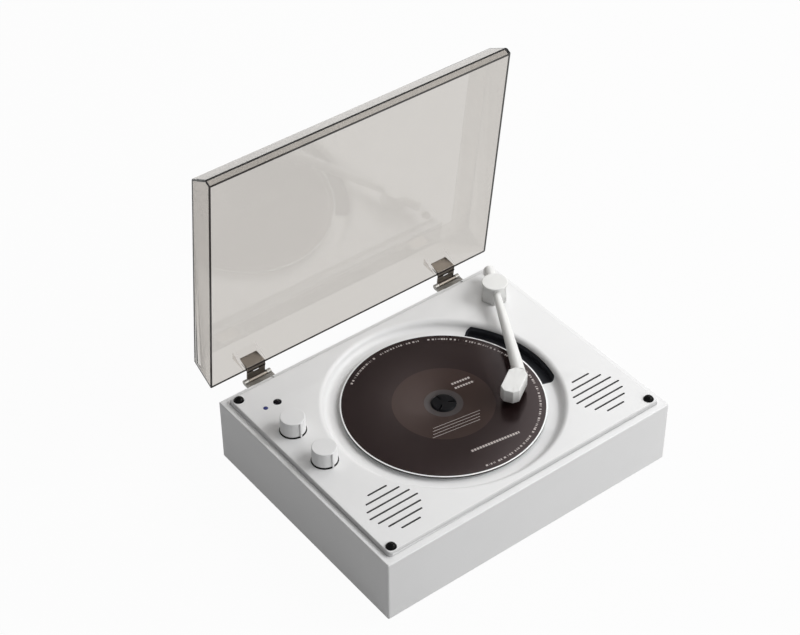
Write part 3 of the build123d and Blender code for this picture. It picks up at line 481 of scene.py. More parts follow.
# ---- Tonearm ----------------------------------------------------------------------------------
# Warm white mouldings: a six-sided turret under a thin round cap, a tube that widens towards the
# headshell, a headshell with eight sides and a short weight behind the turret.
arm_white = (0.735, 0.735, 0.72)
arm_bearing_angle = math.radians(241.3)
turret_radius, turret_draft, turret_edge = 8.6 * mm, 0.84 * mm, 0.35 * mm
turret_turn = math.radians(229.0)
bar_edge, cap_edge, tube_edge, weight_edge = 0.2 * mm, 0.5 * mm, 0.3 * mm, 0.4 * mm
tube_start_rise, tube_start_reach, tube_start_radius = 8.0 * mm, 2.0 * mm, 2.2 * mm
tube_end_rise, tube_end_reach, tube_end_radius = 5.1 * mm, 75.0 * mm, 3.9 * mm
weight_reach, weight_length = 2.0 * mm, 15.8 * mm
head_long, head_wide, head_cut = 10.5 * mm, 5.7 * mm, 2.9 * mm
head_edge, head_corner_edge, head_ease = 0.4 * mm, 0.3 * mm, 0.12 * mm
head_angle = math.radians(211.9)
arm_material = skin_material(
    "arm_moulding", arm_white, gloss=0.36, grain=2200.0, drift=0.015, strength=0.35,
)
arm_direction = Vector((math.cos(arm_bearing_angle), math.sin(arm_bearing_angle), 0))
pivot_x, pivot_y = box_middle("arm_shaft")


def axis_place(origin, direction):
    """Placement matrix whose local Z runs along a direction from an origin."""
    return Matrix.Translation(origin) @ direction.to_track_quat("Z", "Y").to_matrix().to_4x4()


def bar_profile(low, high, low_radius, high_radius, high_edge):
    """Profile of a turned bar with eased edges: a straight side between two radii."""
    corners = [(0, low), (low_radius, low), (high_radius, high), (0, high)]
    return rounded(corners, [0, bar_edge, high_edge, 0])


def along_arm(height, reach):
    """Point at a height, at a reach from the pivot towards the headshell."""
    return Vector((pivot_x, pivot_y, height)) + arm_direction * reach


turret_low, turret_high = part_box("arm_turret")
turret_angles = turret_turn + np.arange(6) * math.pi / 3
turret_corners = turret_radius * np.stack((np.cos(turret_angles), np.sin(turret_angles)), -1)
turret_rows = [
    (turret_low[2], turret_edge), (turret_low[2] + turret_edge, 0),
    (turret_high[2] - turret_edge / 2, turret_draft), (turret_high[2], turret_draft + turret_edge / 2),
]
turret_points = prism_points(rounded(turret_corners, turret_edge, closed=True), turret_rows)
cap_low, cap_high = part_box("arm_cap")
cap_radius = (cap_high[0] - cap_low[0]) / 2
cap_profile = bar_profile(cap_low[2], cap_high[2], cap_radius, cap_radius, cap_edge)

tube_start = along_arm(deck_top + tube_start_rise, tube_start_reach)
tube_way = along_arm(deck_top + tube_end_rise, tube_end_reach) - tube_start
tube_profile = bar_profile(0, tube_way.length, tube_start_radius, tube_end_radius, tube_edge)
weight_low, weight_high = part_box("counterweight")
weight_start = along_arm((weight_low[2] + weight_high[2]) / 2, -weight_reach)
weight_radius = (weight_high[2] - weight_low[2]) / 2
weight_profile = bar_profile(0, weight_length, weight_radius, weight_radius, weight_edge)

head_low, head_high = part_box("headshell")
head_quarter = [(head_long, head_wide - head_cut), (head_long - head_cut, head_wide)]
head_half = head_quarter + [(-x, y) for x, y in reversed(head_quarter)]
head_corners = np.array(head_half + [(-x, -y) for x, y in head_half])
head_turn = np.array(Matrix.Rotation(head_angle, 2))
head_rows = [
    (head_low[2], head_edge), (head_low[2] + head_edge, 0), (head_high[2] - head_edge, 0),
    (head_high[2] - head_ease, head_ease), (head_high[2], head_edge),
]
head_points = prism_points(rounded(head_corners @ head_turn.T, head_corner_edge, closed=True), head_rows)
for name, points, node in (
    ("turret_moulding", moved(turret_points, pivot_x, pivot_y), "arm_turret"),
    ("turret_cap", moved(lathe_points(cap_profile), pivot_x, pivot_y), "arm_cap"),
    ("tapered_tube", lathe_points(tube_profile, axis_place(tube_start, tube_way)), "arm_tube"),
    ("weight_stub", lathe_points(weight_profile, axis_place(weight_start, -arm_direction)), "counterweight"),
    ("headshell_moulding", moved(head_points, *box_middle("headshell")), "headshell"),
):
    place_piece(name, grid_mesh(points), arm_material, "tonearm", "arm_plastic", node)

# ---- Screw plugs, rubber feet, receiver window and status lamp --------------------------------
# Four domed black plugs over the deck's screws, four ribbed rubber feet, a dark infrared window
# and a small blue-violet lamp lens.
plug_black, foot_black = (0.003, 0.003, 0.003), (0.018, 0.018, 0.018)
window_violet, lamp_violet = (0.004, 0.003, 0.005), (0.050, 0.060, 0.20)
plug_radius, foot_radius = 3.05 * mm, 7.0 * mm
foot_bevel_out, foot_bevel_up, foot_edge = 0.6 * mm, 0.55 * mm, 0.08 * mm
groove_depth, groove_slope = 0.35 * mm, 0.3 * mm
rib_start, rib_end, tread_start = 1.9 * mm, 2.7 * mm, 4.0 * mm
dome_steps, small_turns, eye_turns = 10, 48, 64


def dome_profile(radius, low, base, top):
    """Profile of a stem with a domed end: the dome is the arc of a sphere through its base circle
    and its top."""
    rise = top - base
    sphere = (radius ** 2 + rise ** 2) / (2 * rise)
    angle = np.linspace(math.acos((sphere - rise) / sphere), 0, dome_steps)
    dome = np.stack((sphere * np.sin(angle), top - sphere + sphere * np.cos(angle)), -1)
    return np.vstack(([(0, low), (radius, low)], dome))


def corner_places(node, inset):
    """The four corners of a CAD node's box, moved inwards on both axes."""
    low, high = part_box(node)
    return [(x, y) for x in (low[0] + inset, high[0] - inset) for y in (low[1] + inset, high[1] - inset)]


def placed_set(profile, places):
    """One mesh of the same turned form at several places in plan."""
    return joined([grid_mesh(moved(lathe_points(profile, count=small_turns), x, y)) for x, y in places])


plug_material = skin_material(
    "plug_gloss", plug_black, gloss=0.14, grain=900.0, drift=0.05,
    depth=0.03 * mm, strength=0.2, Specular_IOR_Level=0.06,
)
plug_low, plug_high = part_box("screw_plugs")
plug_profile = dome_profile(plug_radius, plug_low[2], deck_top, plug_high[2])
plug_mesh = placed_set(plug_profile, corner_places("screw_plugs", plug_radius))
place_piece("plug_domes", plug_mesh, plug_material, "case", "black_rubber", "screw_plugs")

foot_material = skin_material(
    "foot_rubber", foot_black, gloss=0.62, grain=1500.0, drift=0.12, depth=0.05 * mm,
)
foot_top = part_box("rubber_feet")[1][2]
foot_profile = rounded([
    (0, groove_depth), (rib_start - groove_slope, groove_depth), (rib_start, 0), (rib_end, 0),
    (rib_end + groove_slope, groove_depth), (tread_start - groove_slope, groove_depth), (tread_start, 0),
    (foot_radius - foot_bevel_out, 0), (foot_radius, foot_bevel_up), (foot_radius, foot_top), (0, foot_top),
], foot_edge)
foot_mesh = placed_set(foot_profile, corner_places("rubber_feet", foot_radius))
place_piece("ribbed_feet", foot_mesh, foot_material, "case", "black_rubber", "rubber_feet")

for eye, eye_colour, eye_gloss, eye_slot in (
    ("receiver_window", window_violet, 0.08, "black_gloss"), ("status_lamp", lamp_violet, 0.12, "lamp_lens"),
):
    eye_low, eye_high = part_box(eye)
    eye_profile = dome_profile((eye_high[0] - eye_low[0]) / 2, eye_low[2], deck_top, eye_high[2])
    eye_mesh = grid_mesh(moved(lathe_points(eye_profile, count=eye_turns), *box_middle(eye)))
    eye_material = skin_material(
        f"{eye}_gloss", eye_colour, gloss=eye_gloss, grain=1200.0, drift=0.08,
        depth=0.01 * mm, strength=0.2, Specular_IOR_Level=0.08,
    )
    place_piece(f"{eye}_dome", eye_mesh, eye_material, "case", eye_slot, eye)

# ---- Finger recess ----------------------------------------------------------------------------
# The black moulded tray that closes the opening beside the disc, where a finger reaches under the
# disc's edge. It has the fine even pebbling of a spark-eroded mould.
recess_black = (0.034, 0.035, 0.041)
recess_material = skin_material(
    "recess_texture", recess_black, gloss=0.5, grain=1500.0, drift=0.06,
    depth=0.09 * mm, strength=0.9, Specular_IOR_Level=0.05,
)
merged_copy("finger_recess", "recess_tray", "case", recess_material, "black_textured")

# ---- Compact disc and spindle hub -------------------------------------------------------------
# A dark brown print with a paler round label in its middle, a ring of plain ticks and a few thin
# rules, inside the clear rim and hub ring of the disc. The data side is mirror bright.
print_dark, print_light = (0.011, 0.006, 0.006), (0.030, 0.0185, 0.0155)
tick_pale, gleam_warm = (0.50, 0.46, 0.44), (1.0, 0.78, 0.78)
disc_turns = 256
disc_hole, ring_reach, disc_bead = 7.5 * mm, 10.9 * mm, 0.12 * mm
print_start, print_reach, label_reach = 11.4 * mm, 59.1 * mm, 30.0 * mm
rim_clear, mirror_pale = (0.86, 0.87, 0.87), (0.80, 0.82, 0.84)
ring_dark, edge_dark, hub_black = (0.055, 0.048, 0.048), (0.05, 0.045, 0.045), (0.006, 0.006, 0.007)
tick_ring, tick_half, tick_level, tick_scale = 55.8 * mm, 0.6 * mm, 0.52, 42.0
spread_level, spread_scale = 0.40, 5.0
bare_turn, bare_cosine = 2.958, 0.43
print_turn = math.radians(-8.6)
rule_pitch, rule_half, rule_slant = 1.1 * mm, 0.12 * mm, 0.6
dash_pitch, dash_half = 0.9 * mm, 0.62 * mm
bar_shift, bar_pitch, bar_half = 0.4 * mm, 2.0 * mm, 0.75 * mm
# The middle and half the width of three groups of marks, along and across the turned print.
rule_along, rule_across = (9.0 * mm, 15.5 * mm), (-18.7 * mm, 4.2 * mm)
side_along, side_across = (18.2 * mm, 6.4 * mm), (9.2 * mm, 3.4 * mm)
front_along, front_across = (9.4 * mm, 16.0 * mm), (-41.8 * mm, 0.8 * mm)


def disc_marks_group():
    """Node group that puts out two masks over the disc's face: the round label, where the radius
    is below its own, and the marks. A mark is a tick of the outer ring, where a noise run along the
    angle is high, one of four thin rules in front of the hub, or one of the short plain dashes
    beside it and near the front."""
    group = bpy.data.node_groups.new("disc_marks", "ShaderNodeTree")
    for label in ("Label", "Marks"):
        group.interface.new_socket(label, in_out="OUTPUT", socket_type="NodeSocketFloat")
    apart = add_node(group, "ShaderNodeSeparateXYZ")
    feed(group, apart, Vector=add_node(group, "ShaderNodeTexCoord").outputs["Object"])
    x, y = apart.outputs["X"], apart.outputs["Y"]

    def work(*values):
        """Math node of this group."""
        return math_node(group, *values)

    def all_of(first, *masks):
        """Product of masks, which is 1 where all of them are."""
        for mask in masks:
            first = work("MULTIPLY", first, mask)
        return first

    def stripes(value, pitch, half):
        """Mask of stripes two pitches apart, where a value that folds to and fro is small."""
        return work("LESS_THAN", work("PINGPONG", value, pitch), half)

    def run_along(angle, scale, detail):
        """Noise along the angle alone."""
        run = add_node(group, "ShaderNodeTexNoise", noise_dimensions="1D")
        feed(group, run, W=angle, Scale=scale, Detail=detail)
        return run.outputs["Fac"]

    radius = work("SQRT", work("ADD", work("MULTIPLY", x, x), work("MULTIPLY", y, y)))
    angle = work("ARCTAN2", y, x)
    ring = work("COMPARE", radius, tick_ring, tick_half)
    tick = work("GREATER_THAN", run_along(angle, tick_scale, 1.0), tick_level)
    spread = work("GREATER_THAN", run_along(angle, spread_scale, 2.0), spread_level)
    bare = work("LESS_THAN", work("COSINE", work("ADD", angle, bare_turn)), bare_cosine)

    cos, sin = math.cos(print_turn), math.sin(print_turn)
    along = work("ADD", work("MULTIPLY", x, cos), work("MULTIPLY", y, sin))
    across = work("SUBTRACT", work("MULTIPLY", y, cos), work("MULTIPLY", x, sin))
    rule_middle = work("MULTIPLY_ADD", across, rule_slant, rule_along[0])
    rule_block = work("COMPARE", along, rule_middle, rule_along[1]), work("COMPARE", across, *rule_across)
    side_block = work("COMPARE", along, *side_along), work("COMPARE", across, *side_across)
    front_block = work("COMPARE", along, *front_along), work("COMPARE", across, *front_across)

    dashes = stripes(along, dash_pitch, dash_half)
    bars = stripes(work("ADD", across, bar_shift), bar_pitch, bar_half)
    rules = stripes(across, rule_pitch, rule_half)
    marks = all_of(ring, tick, spread, bare)
    for mask in ((rules, *rule_block), (dashes, bars, *side_block), (dashes, *front_block)):
        marks = work("MAXIMUM", marks, all_of(*mask))
    leave = add_node(group, "NodeGroupOutput")
    feed(group, leave, Label=work("LESS_THAN", radius, label_reach), Marks=marks)
    return group


def mixed_colour(tree, factor, low, high):
    """Colour between two, by a factor."""
    mix = add_node(tree, "ShaderNodeMix", data_type="RGBA")
    feed(tree, mix, Factor=factor, A=low, B=high)
    return mix.outputs["Result"]


disc_print, disc_tree, disc_shader = new_material("disc_print")
disc_marks = add_node(disc_tree, "ShaderNodeGroup", node_tree=disc_marks_group()).outputs
disc_base = mixed_colour(disc_tree, disc_marks["Label"], (*print_dark, 1), (*print_light, 1))
disc_face = mixed_colour(disc_tree, disc_marks["Marks"], disc_base, (*tick_pale, 1))
feed(disc_tree, disc_shader, Base_Color=disc_face, Roughness=0.20)
feed(disc_tree, disc_shader, Specular_IOR_Level=0.16, Specular_Tint=(*gleam_warm, 1))
polished = {"depth": 0.005 * mm, "strength": 0.2}
dull = {"depth": 0.01 * mm, "strength": 0.3, "Specular_IOR_Level": 0.1}
disc_clear = skin_material("disc_clear_edge", rim_clear, gloss=0.10, grain=700.0, drift=0.02, **polished)
disc_ring = skin_material("disc_hub_ring", ring_dark, gloss=0.12, grain=700.0, drift=0.10, **dull)
disc_edge = skin_material("disc_side", edge_dark, gloss=0.15, grain=700.0, drift=0.05, **dull)
disc_mirror = skin_material(
    "disc_data_side", mirror_pale, gloss=0.10, grain=900.0, drift=0.04, **polished, Metallic=1.0,
)

disc_low, disc_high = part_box("compact_disc")
disc_radius, disc_foot, disc_top = (disc_high[0] - disc_low[0]) / 2, disc_low[2], disc_high[2]
disc_profile = rounded(
    [(disc_hole, disc_foot), (disc_radius, disc_foot), (disc_radius, disc_top), (print_reach, disc_top),
     (print_start, disc_top), (ring_reach, disc_top - disc_bead), (disc_hole, disc_top - disc_bead)],
    [0.1 * mm, 0.25 * mm, 0.25 * mm, 0, 0, 0, 0.1 * mm], closed=True,
)
disc_mesh = grid_mesh(lathe_points(disc_profile, count=disc_turns), close_along=True)
disc_piece = place_piece("printed_disc", disc_mesh, disc_print, "disc_drive", "disc_print", "compact_disc")
on_rim, on_ring = add_finish(disc_piece, disc_clear), add_finish(disc_piece, disc_ring)
below, on_edge = add_finish(disc_piece, disc_mirror), add_finish(disc_piece, disc_edge)
for face in disc_mesh.polygons:
    face_radius = math.hypot(face.center.x, face.center.y)
    if face.normal.z < -0.5:
        face.material_index = below
    elif face_radius > print_reach:
        face.material_index = on_rim if face.normal.z > 0.5 else on_edge
    elif face_radius < print_start:
        face.material_index = on_ring
hub_material = skin_material(
    "hub_plastic", hub_black, gloss=0.30, grain=1800.0, drift=0.08,
    depth=0.04 * mm, Specular_IOR_Level=0.04,
)
merged_copy("spindle_hub", "spindle_cone", "disc_drive", hub_material, "black_gloss")

# ---- Dust cover -------------------------------------------------------------------------------
# Clear smoked acrylic, polished on its broad faces. The sawn rim gathers the grey of the sheet and
# looks nearly black, and the pockets that take the hinge clips bend the light behind them little.
smoke = (0.63, 0.605, 0.575)
smoke_rim = (0.030, 0.027, 0.025)
smoke_side = (0.97, 0.965, 0.96)
cover_turn = math.radians(-83.7)
rim_drop = 1.9 * mm
clip_half = 6.3 * mm
pocket_half, pocket_depth = 8.15 * mm, 12.4 * mm
pocket_start, pocket_length = 7.45 * mm, 8.5 * mm
face_slack = 0.1 * mm
rim_out = Vector((0, math.sin(cover_turn), -math.cos(cover_turn)))
cover_forward = Vector((0, -math.cos(cover_turn), -math.sin(cover_turn)))
hinge_low, hinge_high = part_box("hinge_pins")
hinge_axis = Vector((0, (hinge_low[1] + hinge_high[1]) / 2, (hinge_low[2] + hinge_high[2]) / 2))
clip_low, clip_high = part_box("hinge_clips")
clip_middles = (clip_low[0] + clip_half, clip_high[0] - clip_half)

cover_clear = skin_material(
    "smoked_acrylic", smoke, gloss=0.05, grain=60.0, drift=0.012,
    strength=0.15, Transmission_Weight=1.0, IOR=1.49,
)
cover_piece = merged_copy("dust_cover", "clear_cover", "dust_cover", cover_clear, "smoked_clear")
cover_rim = skin_material("sawn_rim", smoke_rim, gloss=0.25, grain=3000.0, drift=0.15)
pocket_skin = {"gloss": 0.03, "grain": 900.0, "drift": 0.01, "depth": 0.002 * mm, "strength": 0.1}
pocket_skin.update(Transmission_Weight=1.0, IOR=1.06)
sawn = add_finish(cover_piece, cover_rim)
in_pocket = add_finish(cover_piece, skin_material("pocket_wall", smoke, **pocket_skin))
beside_clip = add_finish(cover_piece, skin_material("pocket_side", smoke_side, **pocket_skin))
for face in cover_piece.data.polygons:
    from_axis = face.center - hinge_axis
    level = rim_out.dot(from_axis) + rim_drop
    forward = cover_forward.dot(from_axis) - pocket_start
    aside = min((face.center.x - middle for middle in clip_middles), key=abs)
    walled = abs(aside) < pocket_half and level > -pocket_depth and -face_slack < forward < pocket_length
    if abs(level) < face_slack and face.normal.dot(rim_out) > 0.99:
        face.material_index = sawn
    elif walled:
        face.material_index = beside_clip if abs(face.normal.x) > 0.5 and aside < 0 else in_pocket

# ---- Hinges -----------------------------------------------------------------------------------
# Brushed, slightly warm metal: fixed leaves with their barrels, pins, and the U-shaped clips that
# grip the cover's rear rim. A clip is bent from strip, with a window between its barrel and its
# legs, and near-black strips of painted shade lie in its folds, where little light comes.
hinge_warm = (0.172, 0.152, 0.131)
pin_grey, leaf_grey = (0.30, 0.285, 0.265), (0.30, 0.29, 0.27)
# Near-black painted shade for the strips in the clips' folds.
fold_painted_shade = (0.010, 0.007, 0.006)
brush_scale, brush_low, brush_high, brush_gloss = 5200.0, 0.72, 1.25, 0.15
brush_depth, brush_strength = 0.02 * mm, 0.25
strap_thick, strap_rise = 0.8 * mm, 1.5 * mm
leg_reach, leg_rise, leg_bend = 9.3 * mm, 10.3 * mm, 0.9 * mm
outer_leg_reach, outer_leg_rise = 7.0 * mm, 7.9 * mm
window_start, window_end, window_side, window_lap = 6.1 * mm, 4.1 * mm, 4.2 * mm, 0.5 * mm
barrel_reach, barrel_radius, barrel_steps = 1.6 * mm, 1.3 * mm, 16
shade_strip_thick, shade_strip_edge, shade_strip_proud = 0.5 * mm, 0.08 * mm, 0.1 * mm
bend_out, bend_in = 0.23 * mm, 0.47 * mm
step_start, step_end, step_drop = 6.8 * mm, 6.0 * mm, 0.4 * mm
web_start, web_end, web_wide, web_thick, web_drop = 5.55 * mm, 2.1 * mm, 18.4 * mm, 1.2 * mm, 0.05 * mm


def brushed_group():
    """Node group for brushed metal: a noise that is drawn out along one axis by shrinking that
    axis, put out as a colour, a roughness and a height."""
    group, enter, leave, place = surface_group(
        "brushed_metal",
        ("Colour", "NodeSocketColor", (0.5, 0.5, 0.5, 1)), ("Gloss", "NodeSocketFloat", 0.3),
        ("Stretch", "NodeSocketVector", (0.03, 1.0, 1.0)),
    )
    drawn = add_node(group, "ShaderNodeVectorMath", operation="MULTIPLY")
    group.links.new(place, drawn.inputs[0])
    group.links.new(enter.outputs["Stretch"], drawn.inputs[1])
    lines = noise(group, drawn.outputs[0], brush_scale, 3.0)
    shade = add_node(group, "ShaderNodeMapRange")
    feed(group, shade, Value=lines, To_Min=brush_low, To_Max=brush_high)
    rough = math_node(group, "MULTIPLY_ADD", lines, brush_gloss, enter.outputs["Gloss"])
    tinted = scaled(group, enter.outputs["Colour"], shade.outputs["Result"])
    feed(group, leave, Colour=tinted, Roughness=rough, Height=lines)
    return group


brushed = brushed_group()


def metal_material(name, colour, gloss, stretch=(0.03, 1.0, 1.0)):
    """Metal finish with brush lines along the axis whose stretch is small."""
    values = {"Colour": (*colour, 1), "Gloss": gloss, "Stretch": stretch}
    return surface_material(name, brushed, values, brush_depth, brush_strength, {"Metallic": 1.0})


def swept_strip(path, middle_x, width, thickness=strap_thick, edge=0.12 * mm):
    """Flat strip whose section, a rectangle with eased corners, is carried along a path of (y, z)
    points. At each point the section stands square to the path."""
    path = np.asarray(path, float)
    ahead = np.gradient(path, axis=0)
    ahead /= np.linalg.norm(ahead, axis=1, keepdims=True)
    side = np.stack((-ahead[:, 1], ahead[:, 0]), -1)
    w, t = width / 2, thickness / 2
    section = rounded([(-w, -t), (w, -t), (w, t), (-w, t)], edge, closed=True)
    y = path[:, :1] + side[:, :1] * section[:, 1]
    z = path[:, 1:] + side[:, 1:] * section[:, 1]
    rows = np.stack((np.broadcast_to(middle_x + section[:, 0], y.shape), y, z), -1)
    ends = [np.broadcast_to((middle_x, *path[i]), rows[:1].shape) for i in (0, -1)]
    return grid_mesh(np.concatenate((ends[0], rows, ends[1])))


def by_axis(*points):
    """Path of (y, z) points, from reaches in front of the hinge axis and rises above it."""
    return [(hinge_axis.y - reach, hinge_axis.z + rise) for reach, rise in points]


def opened(meshes):
    """One mesh from several that are drawn with the cover shut, turned to the open rest position."""
    mesh = joined(meshes)
    turn = Matrix.Rotation(cover_turn, 4, "X")
    mesh.transform(Matrix.Translation(hinge_axis) @ turn @ Matrix.Translation(-hinge_axis))
    return mesh


curl = np.radians(np.linspace(90, -160, barrel_steps))
curl_points = barrel_radius * np.stack((-np.cos(curl), np.sin(curl)), -1)
leg_path = rounded(
    by_axis((leg_reach, leg_rise), (leg_reach, strap_rise), (window_start, strap_rise)), [0, leg_bend, 0]
)
outer_leg_path = by_axis((outer_leg_reach, strap_rise), (outer_leg_reach, outer_leg_rise))
barrel_path = by_axis((window_end, strap_rise), (barrel_reach, strap_rise), *curl_points)
window_path = by_axis((window_start + window_lap, strap_rise), (window_end - window_lap, strap_rise))
# Paths of the painted-shade strips at the clip's bend and at its step.
bend_shade_path = by_axis(*((leg_reach + offset, strap_rise + offset) for offset in (bend_out, -bend_in)))
step_shade_path = by_axis((step_start, strap_rise - step_drop), (step_end, strap_rise - step_drop))
web_path = by_axis((web_start, -web_drop), (web_end, -web_drop))
clip_strips, fold_shade_strips = [], []
for middle in clip_middles:
    for path in (leg_path, barrel_path, outer_leg_path):
        clip_strips.append(swept_strip(path, middle, 2 * clip_half))
    for side in (-window_side, window_side):
        clip_strips.append(swept_strip(window_path, middle + side, window_side))
    for path in (bend_shade_path, step_shade_path):
        fold_shade_strips.append(swept_strip(path, middle, 2 * clip_half + shade_strip_proud, shade_strip_thick, shade_strip_edge))
web_strips = [swept_strip(web_path, middle, web_wide, web_thick) for middle in clip_middles]

hinge_metal = metal_material("hinge_metal", hinge_warm, gloss=0.36)
pin_metal = metal_material("pin_metal", pin_grey, gloss=0.32, stretch=(1.0, 1.0, 1.0))
leaf_metal = metal_material("hinge_leaf_metal", leaf_grey, gloss=0.42)
hinge_fold_painted_shade = skin_material(
    "hinge_fold_shade", fold_painted_shade, gloss=0.5, grain=2500.0, drift=0.2, Specular_IOR_Level=0.1,
)
place_piece("hinge_u_clips", opened(clip_strips), hinge_metal, "dust_cover", "hinge_metal", "hinge_clips")
place_piece("hinge_clip_fold_shade", opened(fold_shade_strips), hinge_fold_painted_shade, "dust_cover", "hinge_metal")
place_piece("hinge_leaf_webs", joined(web_strips), leaf_metal, "case", "hinge_metal")
merged_copy("hinge_leaves", "hinge_wall_leaves", "case", leaf_metal, "hinge_metal")
merged_copy("hinge_pins", "hinge_pin_pair", "case", pin_metal, "screw_steel")

# ---- Screws -----------------------------------------------------------------------------------
# Plated cheese heads with a cross recess: four in the base, four in the hinge leaves, and plain
# ones under the plugs and dampers.
screw_radius, screw_head = 1.3 * mm, 2.4 * mm
base_head, base_length = 1.1 * mm, 9.85 * mm
rear_head, rear_length, rear_pitch = 0.8 * mm, 3.35 * mm, 11.0 * mm
cross_half, cross_reach = 0.19 * screw_head, 0.62 * screw_head
head_chamfer, head_ease_share = 0.12 * screw_head, 0.3
recess_middle, recess_floor, recess_draft = 0.45, 0.5, 0.8
plated_steel = metal_material("plated_steel", (0.55, 0.55, 0.54), gloss=0.22, stretch=(1.0, 1.0, 1.0))


def cross_screw(height, length, place):
    """Screw that points along local -Z. The head's columns of points run out from a cross recess,
    whose outline is the larger of two rectangles' polar radii, min(a / |cos t|, b / |sin t|). The
    recess narrows towards its floor, halfway down the head."""
    angle = np.linspace(0, 2 * math.pi, turns, endpoint=False) + 1e-6
    cos, sin = np.abs(np.cos(angle)), np.abs(np.sin(angle))
    one_bar = np.minimum(cross_reach / cos, cross_half / sin)
    other_bar = np.minimum(cross_half / cos, cross_reach / sin)
    cross = np.maximum(one_bar, other_bar)
    ease = head_ease_share * head_chamfer
    rows = [(0 * cross, recess_middle * height), (recess_draft * cross, recess_floor * height)]
    rows += [(cross, height)] + [(0 * cross + r, z) for r, z in (
        (screw_head - head_chamfer, height), (screw_head - ease, height - ease),
        (screw_head, height - head_chamfer), (screw_head, 0), (screw_radius, 0),
        (screw_radius, screw_radius - length), (0, -length),
    )]
    points = np.stack([np.stack((r * np.cos(angle), r * np.sin(angle), 0 * r + z), -1) for r, z in rows])
    return grid_mesh(carried(points, place))


base_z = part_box("base_screws")[0][2] + base_head
base_screws = []
for x, y in corner_places("base_screws", screw_head):
    place = Matrix.Translation((x, y, base_z)) @ Matrix.Rotation(math.pi, 4, "X")
    base_screws.append(cross_screw(base_head, base_length, place))
place_piece("base_cross_screws", joined(base_screws), plated_steel, "case", "screw_steel", "base_screws")

rear_low, rear_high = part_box("hinge_screws")
rear_y, rear_z = rear_high[1] - rear_head, (rear_low[2] + rear_high[2]) / 2
rear_screws = []
for x, pitch in ((rear_low[0] + screw_head, rear_pitch), (rear_high[0] - screw_head, -rear_pitch)):
    for rear_x in (x, x + pitch):
        place = axis_place(Vector((rear_x, rear_y, rear_z)), Vector((0, 1, 0)))
        rear_screws.append(cross_screw(rear_head, rear_length, place))
place_piece("hinge_cross_screws", joined(rear_screws), plated_steel, "case", "screw_steel", "hinge_screws")

# ---- Sockets and switch in the rear wall ------------------------------------------------------
# A black jack with a ribbed throat, a bright steel inlet shell, and a white slide tab in a black
# switch body.
socket_black = skin_material("socket_black", (0.014, 0.014, 0.015), gloss=0.35, grain=1800.0, drift=0.08)
inlet_steel = metal_material("inlet_steel", (0.60, 0.60, 0.60), gloss=0.2, stretch=(1.0, 0.04, 1.0))
merged_copy("audio_jack", "jack_socket", "case", socket_black, "black_gloss")
merged_copy("power_switch", "switch_body", "case", socket_black, "black_gloss")
merged_copy("power_inlet", "inlet_shell", "case", inlet_steel, "screw_steel")
merged_copy("power_slider", "slide_tab", "power_tab", white_moulding, "white_plastic")

# ---- The works under the deck -----------------------------------------------------------------
# Loudspeakers, the disc's motor, the traverse chassis with its sled and rods, the tonearm's bush
# and switch, the controls and the boards. Each takes a finish of its own kind.
mask_green, track_green = (0.012, 0.085, 0.035), (0.035, 0.19, 0.08)
part_black = (0.018, 0.018, 0.020)
track_share, part_rise = 0.05, 9.85 * mm
magnet_dark = skin_material(
    "ferrite", (0.035, 0.035, 0.036), gloss=0.55, grain=900.0, drift=0.15, depth=0.05 * mm,
)
paper_cone = skin_material(
    "paper_cone", (0.045, 0.043, 0.040), gloss=0.8, grain=700.0, drift=0.2, depth=0.12 * mm, strength=0.8,
)
chassis_black = skin_material("chassis_black", (0.020, 0.020, 0.021), gloss=0.42, grain=1600.0, drift=0.08)
damper_rubber = skin_material(
    "damper_rubber", (0.022, 0.021, 0.021), gloss=0.7, grain=1200.0, drift=0.1, depth=0.04 * mm,
)
acetal = skin_material("acetal", (0.72, 0.70, 0.65), gloss=0.35, grain=1200.0, drift=0.03)
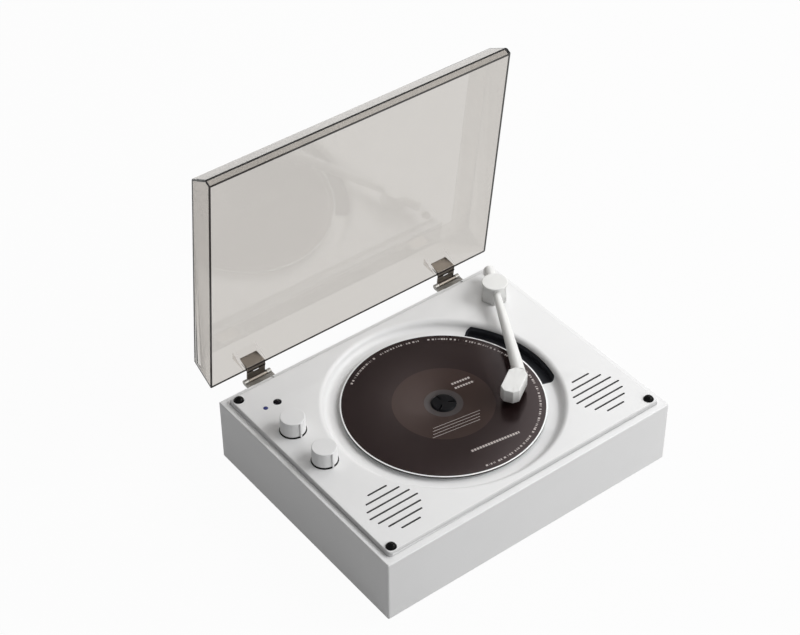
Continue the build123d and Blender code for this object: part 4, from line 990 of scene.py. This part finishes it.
lens_glass = skin_material(
    "pickup_glass", (0.72, 0.78, 0.95), gloss=0.05, grain=900.0, drift=0.02,
    **polished, Transmission_Weight=1.0,
)
ground_steel = metal_material("ground_steel", (0.58, 0.58, 0.58), gloss=0.18, stretch=(1.0, 0.03, 1.0))
turned_steel = metal_material("turned_steel", (0.54, 0.54, 0.53), gloss=0.22, stretch=(1.0, 1.0, 0.04))
cast_metal = metal_material("cast_sled", (0.50, 0.50, 0.50), gloss=0.42, stretch=(1.0, 1.0, 1.0))


def board_material(name, cell_scale, part_level):
    """Circuit board: green mask with paler tracks, where the distance to the edge of an uneven
    cell is small, and near-black parts above a level."""
    material, tree, shader = new_material(name)
    place = add_node(tree, "ShaderNodeTexCoord").outputs["Object"]
    apart = add_node(tree, "ShaderNodeSeparateXYZ")
    cells = add_node(tree, "ShaderNodeTexVoronoi", feature="DISTANCE_TO_EDGE", distance="EUCLIDEAN")
    feed(tree, apart, Vector=place)
    feed(tree, cells, Vector=place, Scale=cell_scale, Randomness=0.55)
    track = math_node(tree, "LESS_THAN", cells.outputs["Distance"], track_share)
    part = math_node(tree, "GREATER_THAN", apart.outputs["Z"], part_level)
    board = mixed_colour(tree, track, (*mask_green, 1), (*track_green, 1))
    feed(tree, shader, Base_Color=mixed_colour(tree, part, board, (*part_black, 1)), Roughness=0.35)
    return material


main_board = board_material("main_board_mask", 260.0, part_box("base_cover")[0][2] + part_rise)
sensor_board = board_material("sensor_board_mask", 420.0, deck_top)
for finish, *hidden in (
    (magnet_dark, "speaker_magnets"), (paper_cone, "speaker_cones"), (damper_rubber, "rubber_dampers"),
    (chassis_black, "traverse_chassis", "arm_switch"), (acetal, "arm_bearing"), (ground_steel, "guide_rods"),
    (turned_steel, "spindle_motor", "motor_shaft", "arm_shaft", "volume_shaft", "mode_shaft"),
    (plated_steel, "deck_screws", "damper_screws", "potentiometers", "speaker_frames"),
    (cast_metal, "pickup_sled"), (lens_glass, "pickup_lens"),
    (main_board, "main_board"), (sensor_board, "sensor_board"),
):
    for node in hidden:
        nodes[node].data.materials.clear()
        nodes[node].data.materials.append(finish)
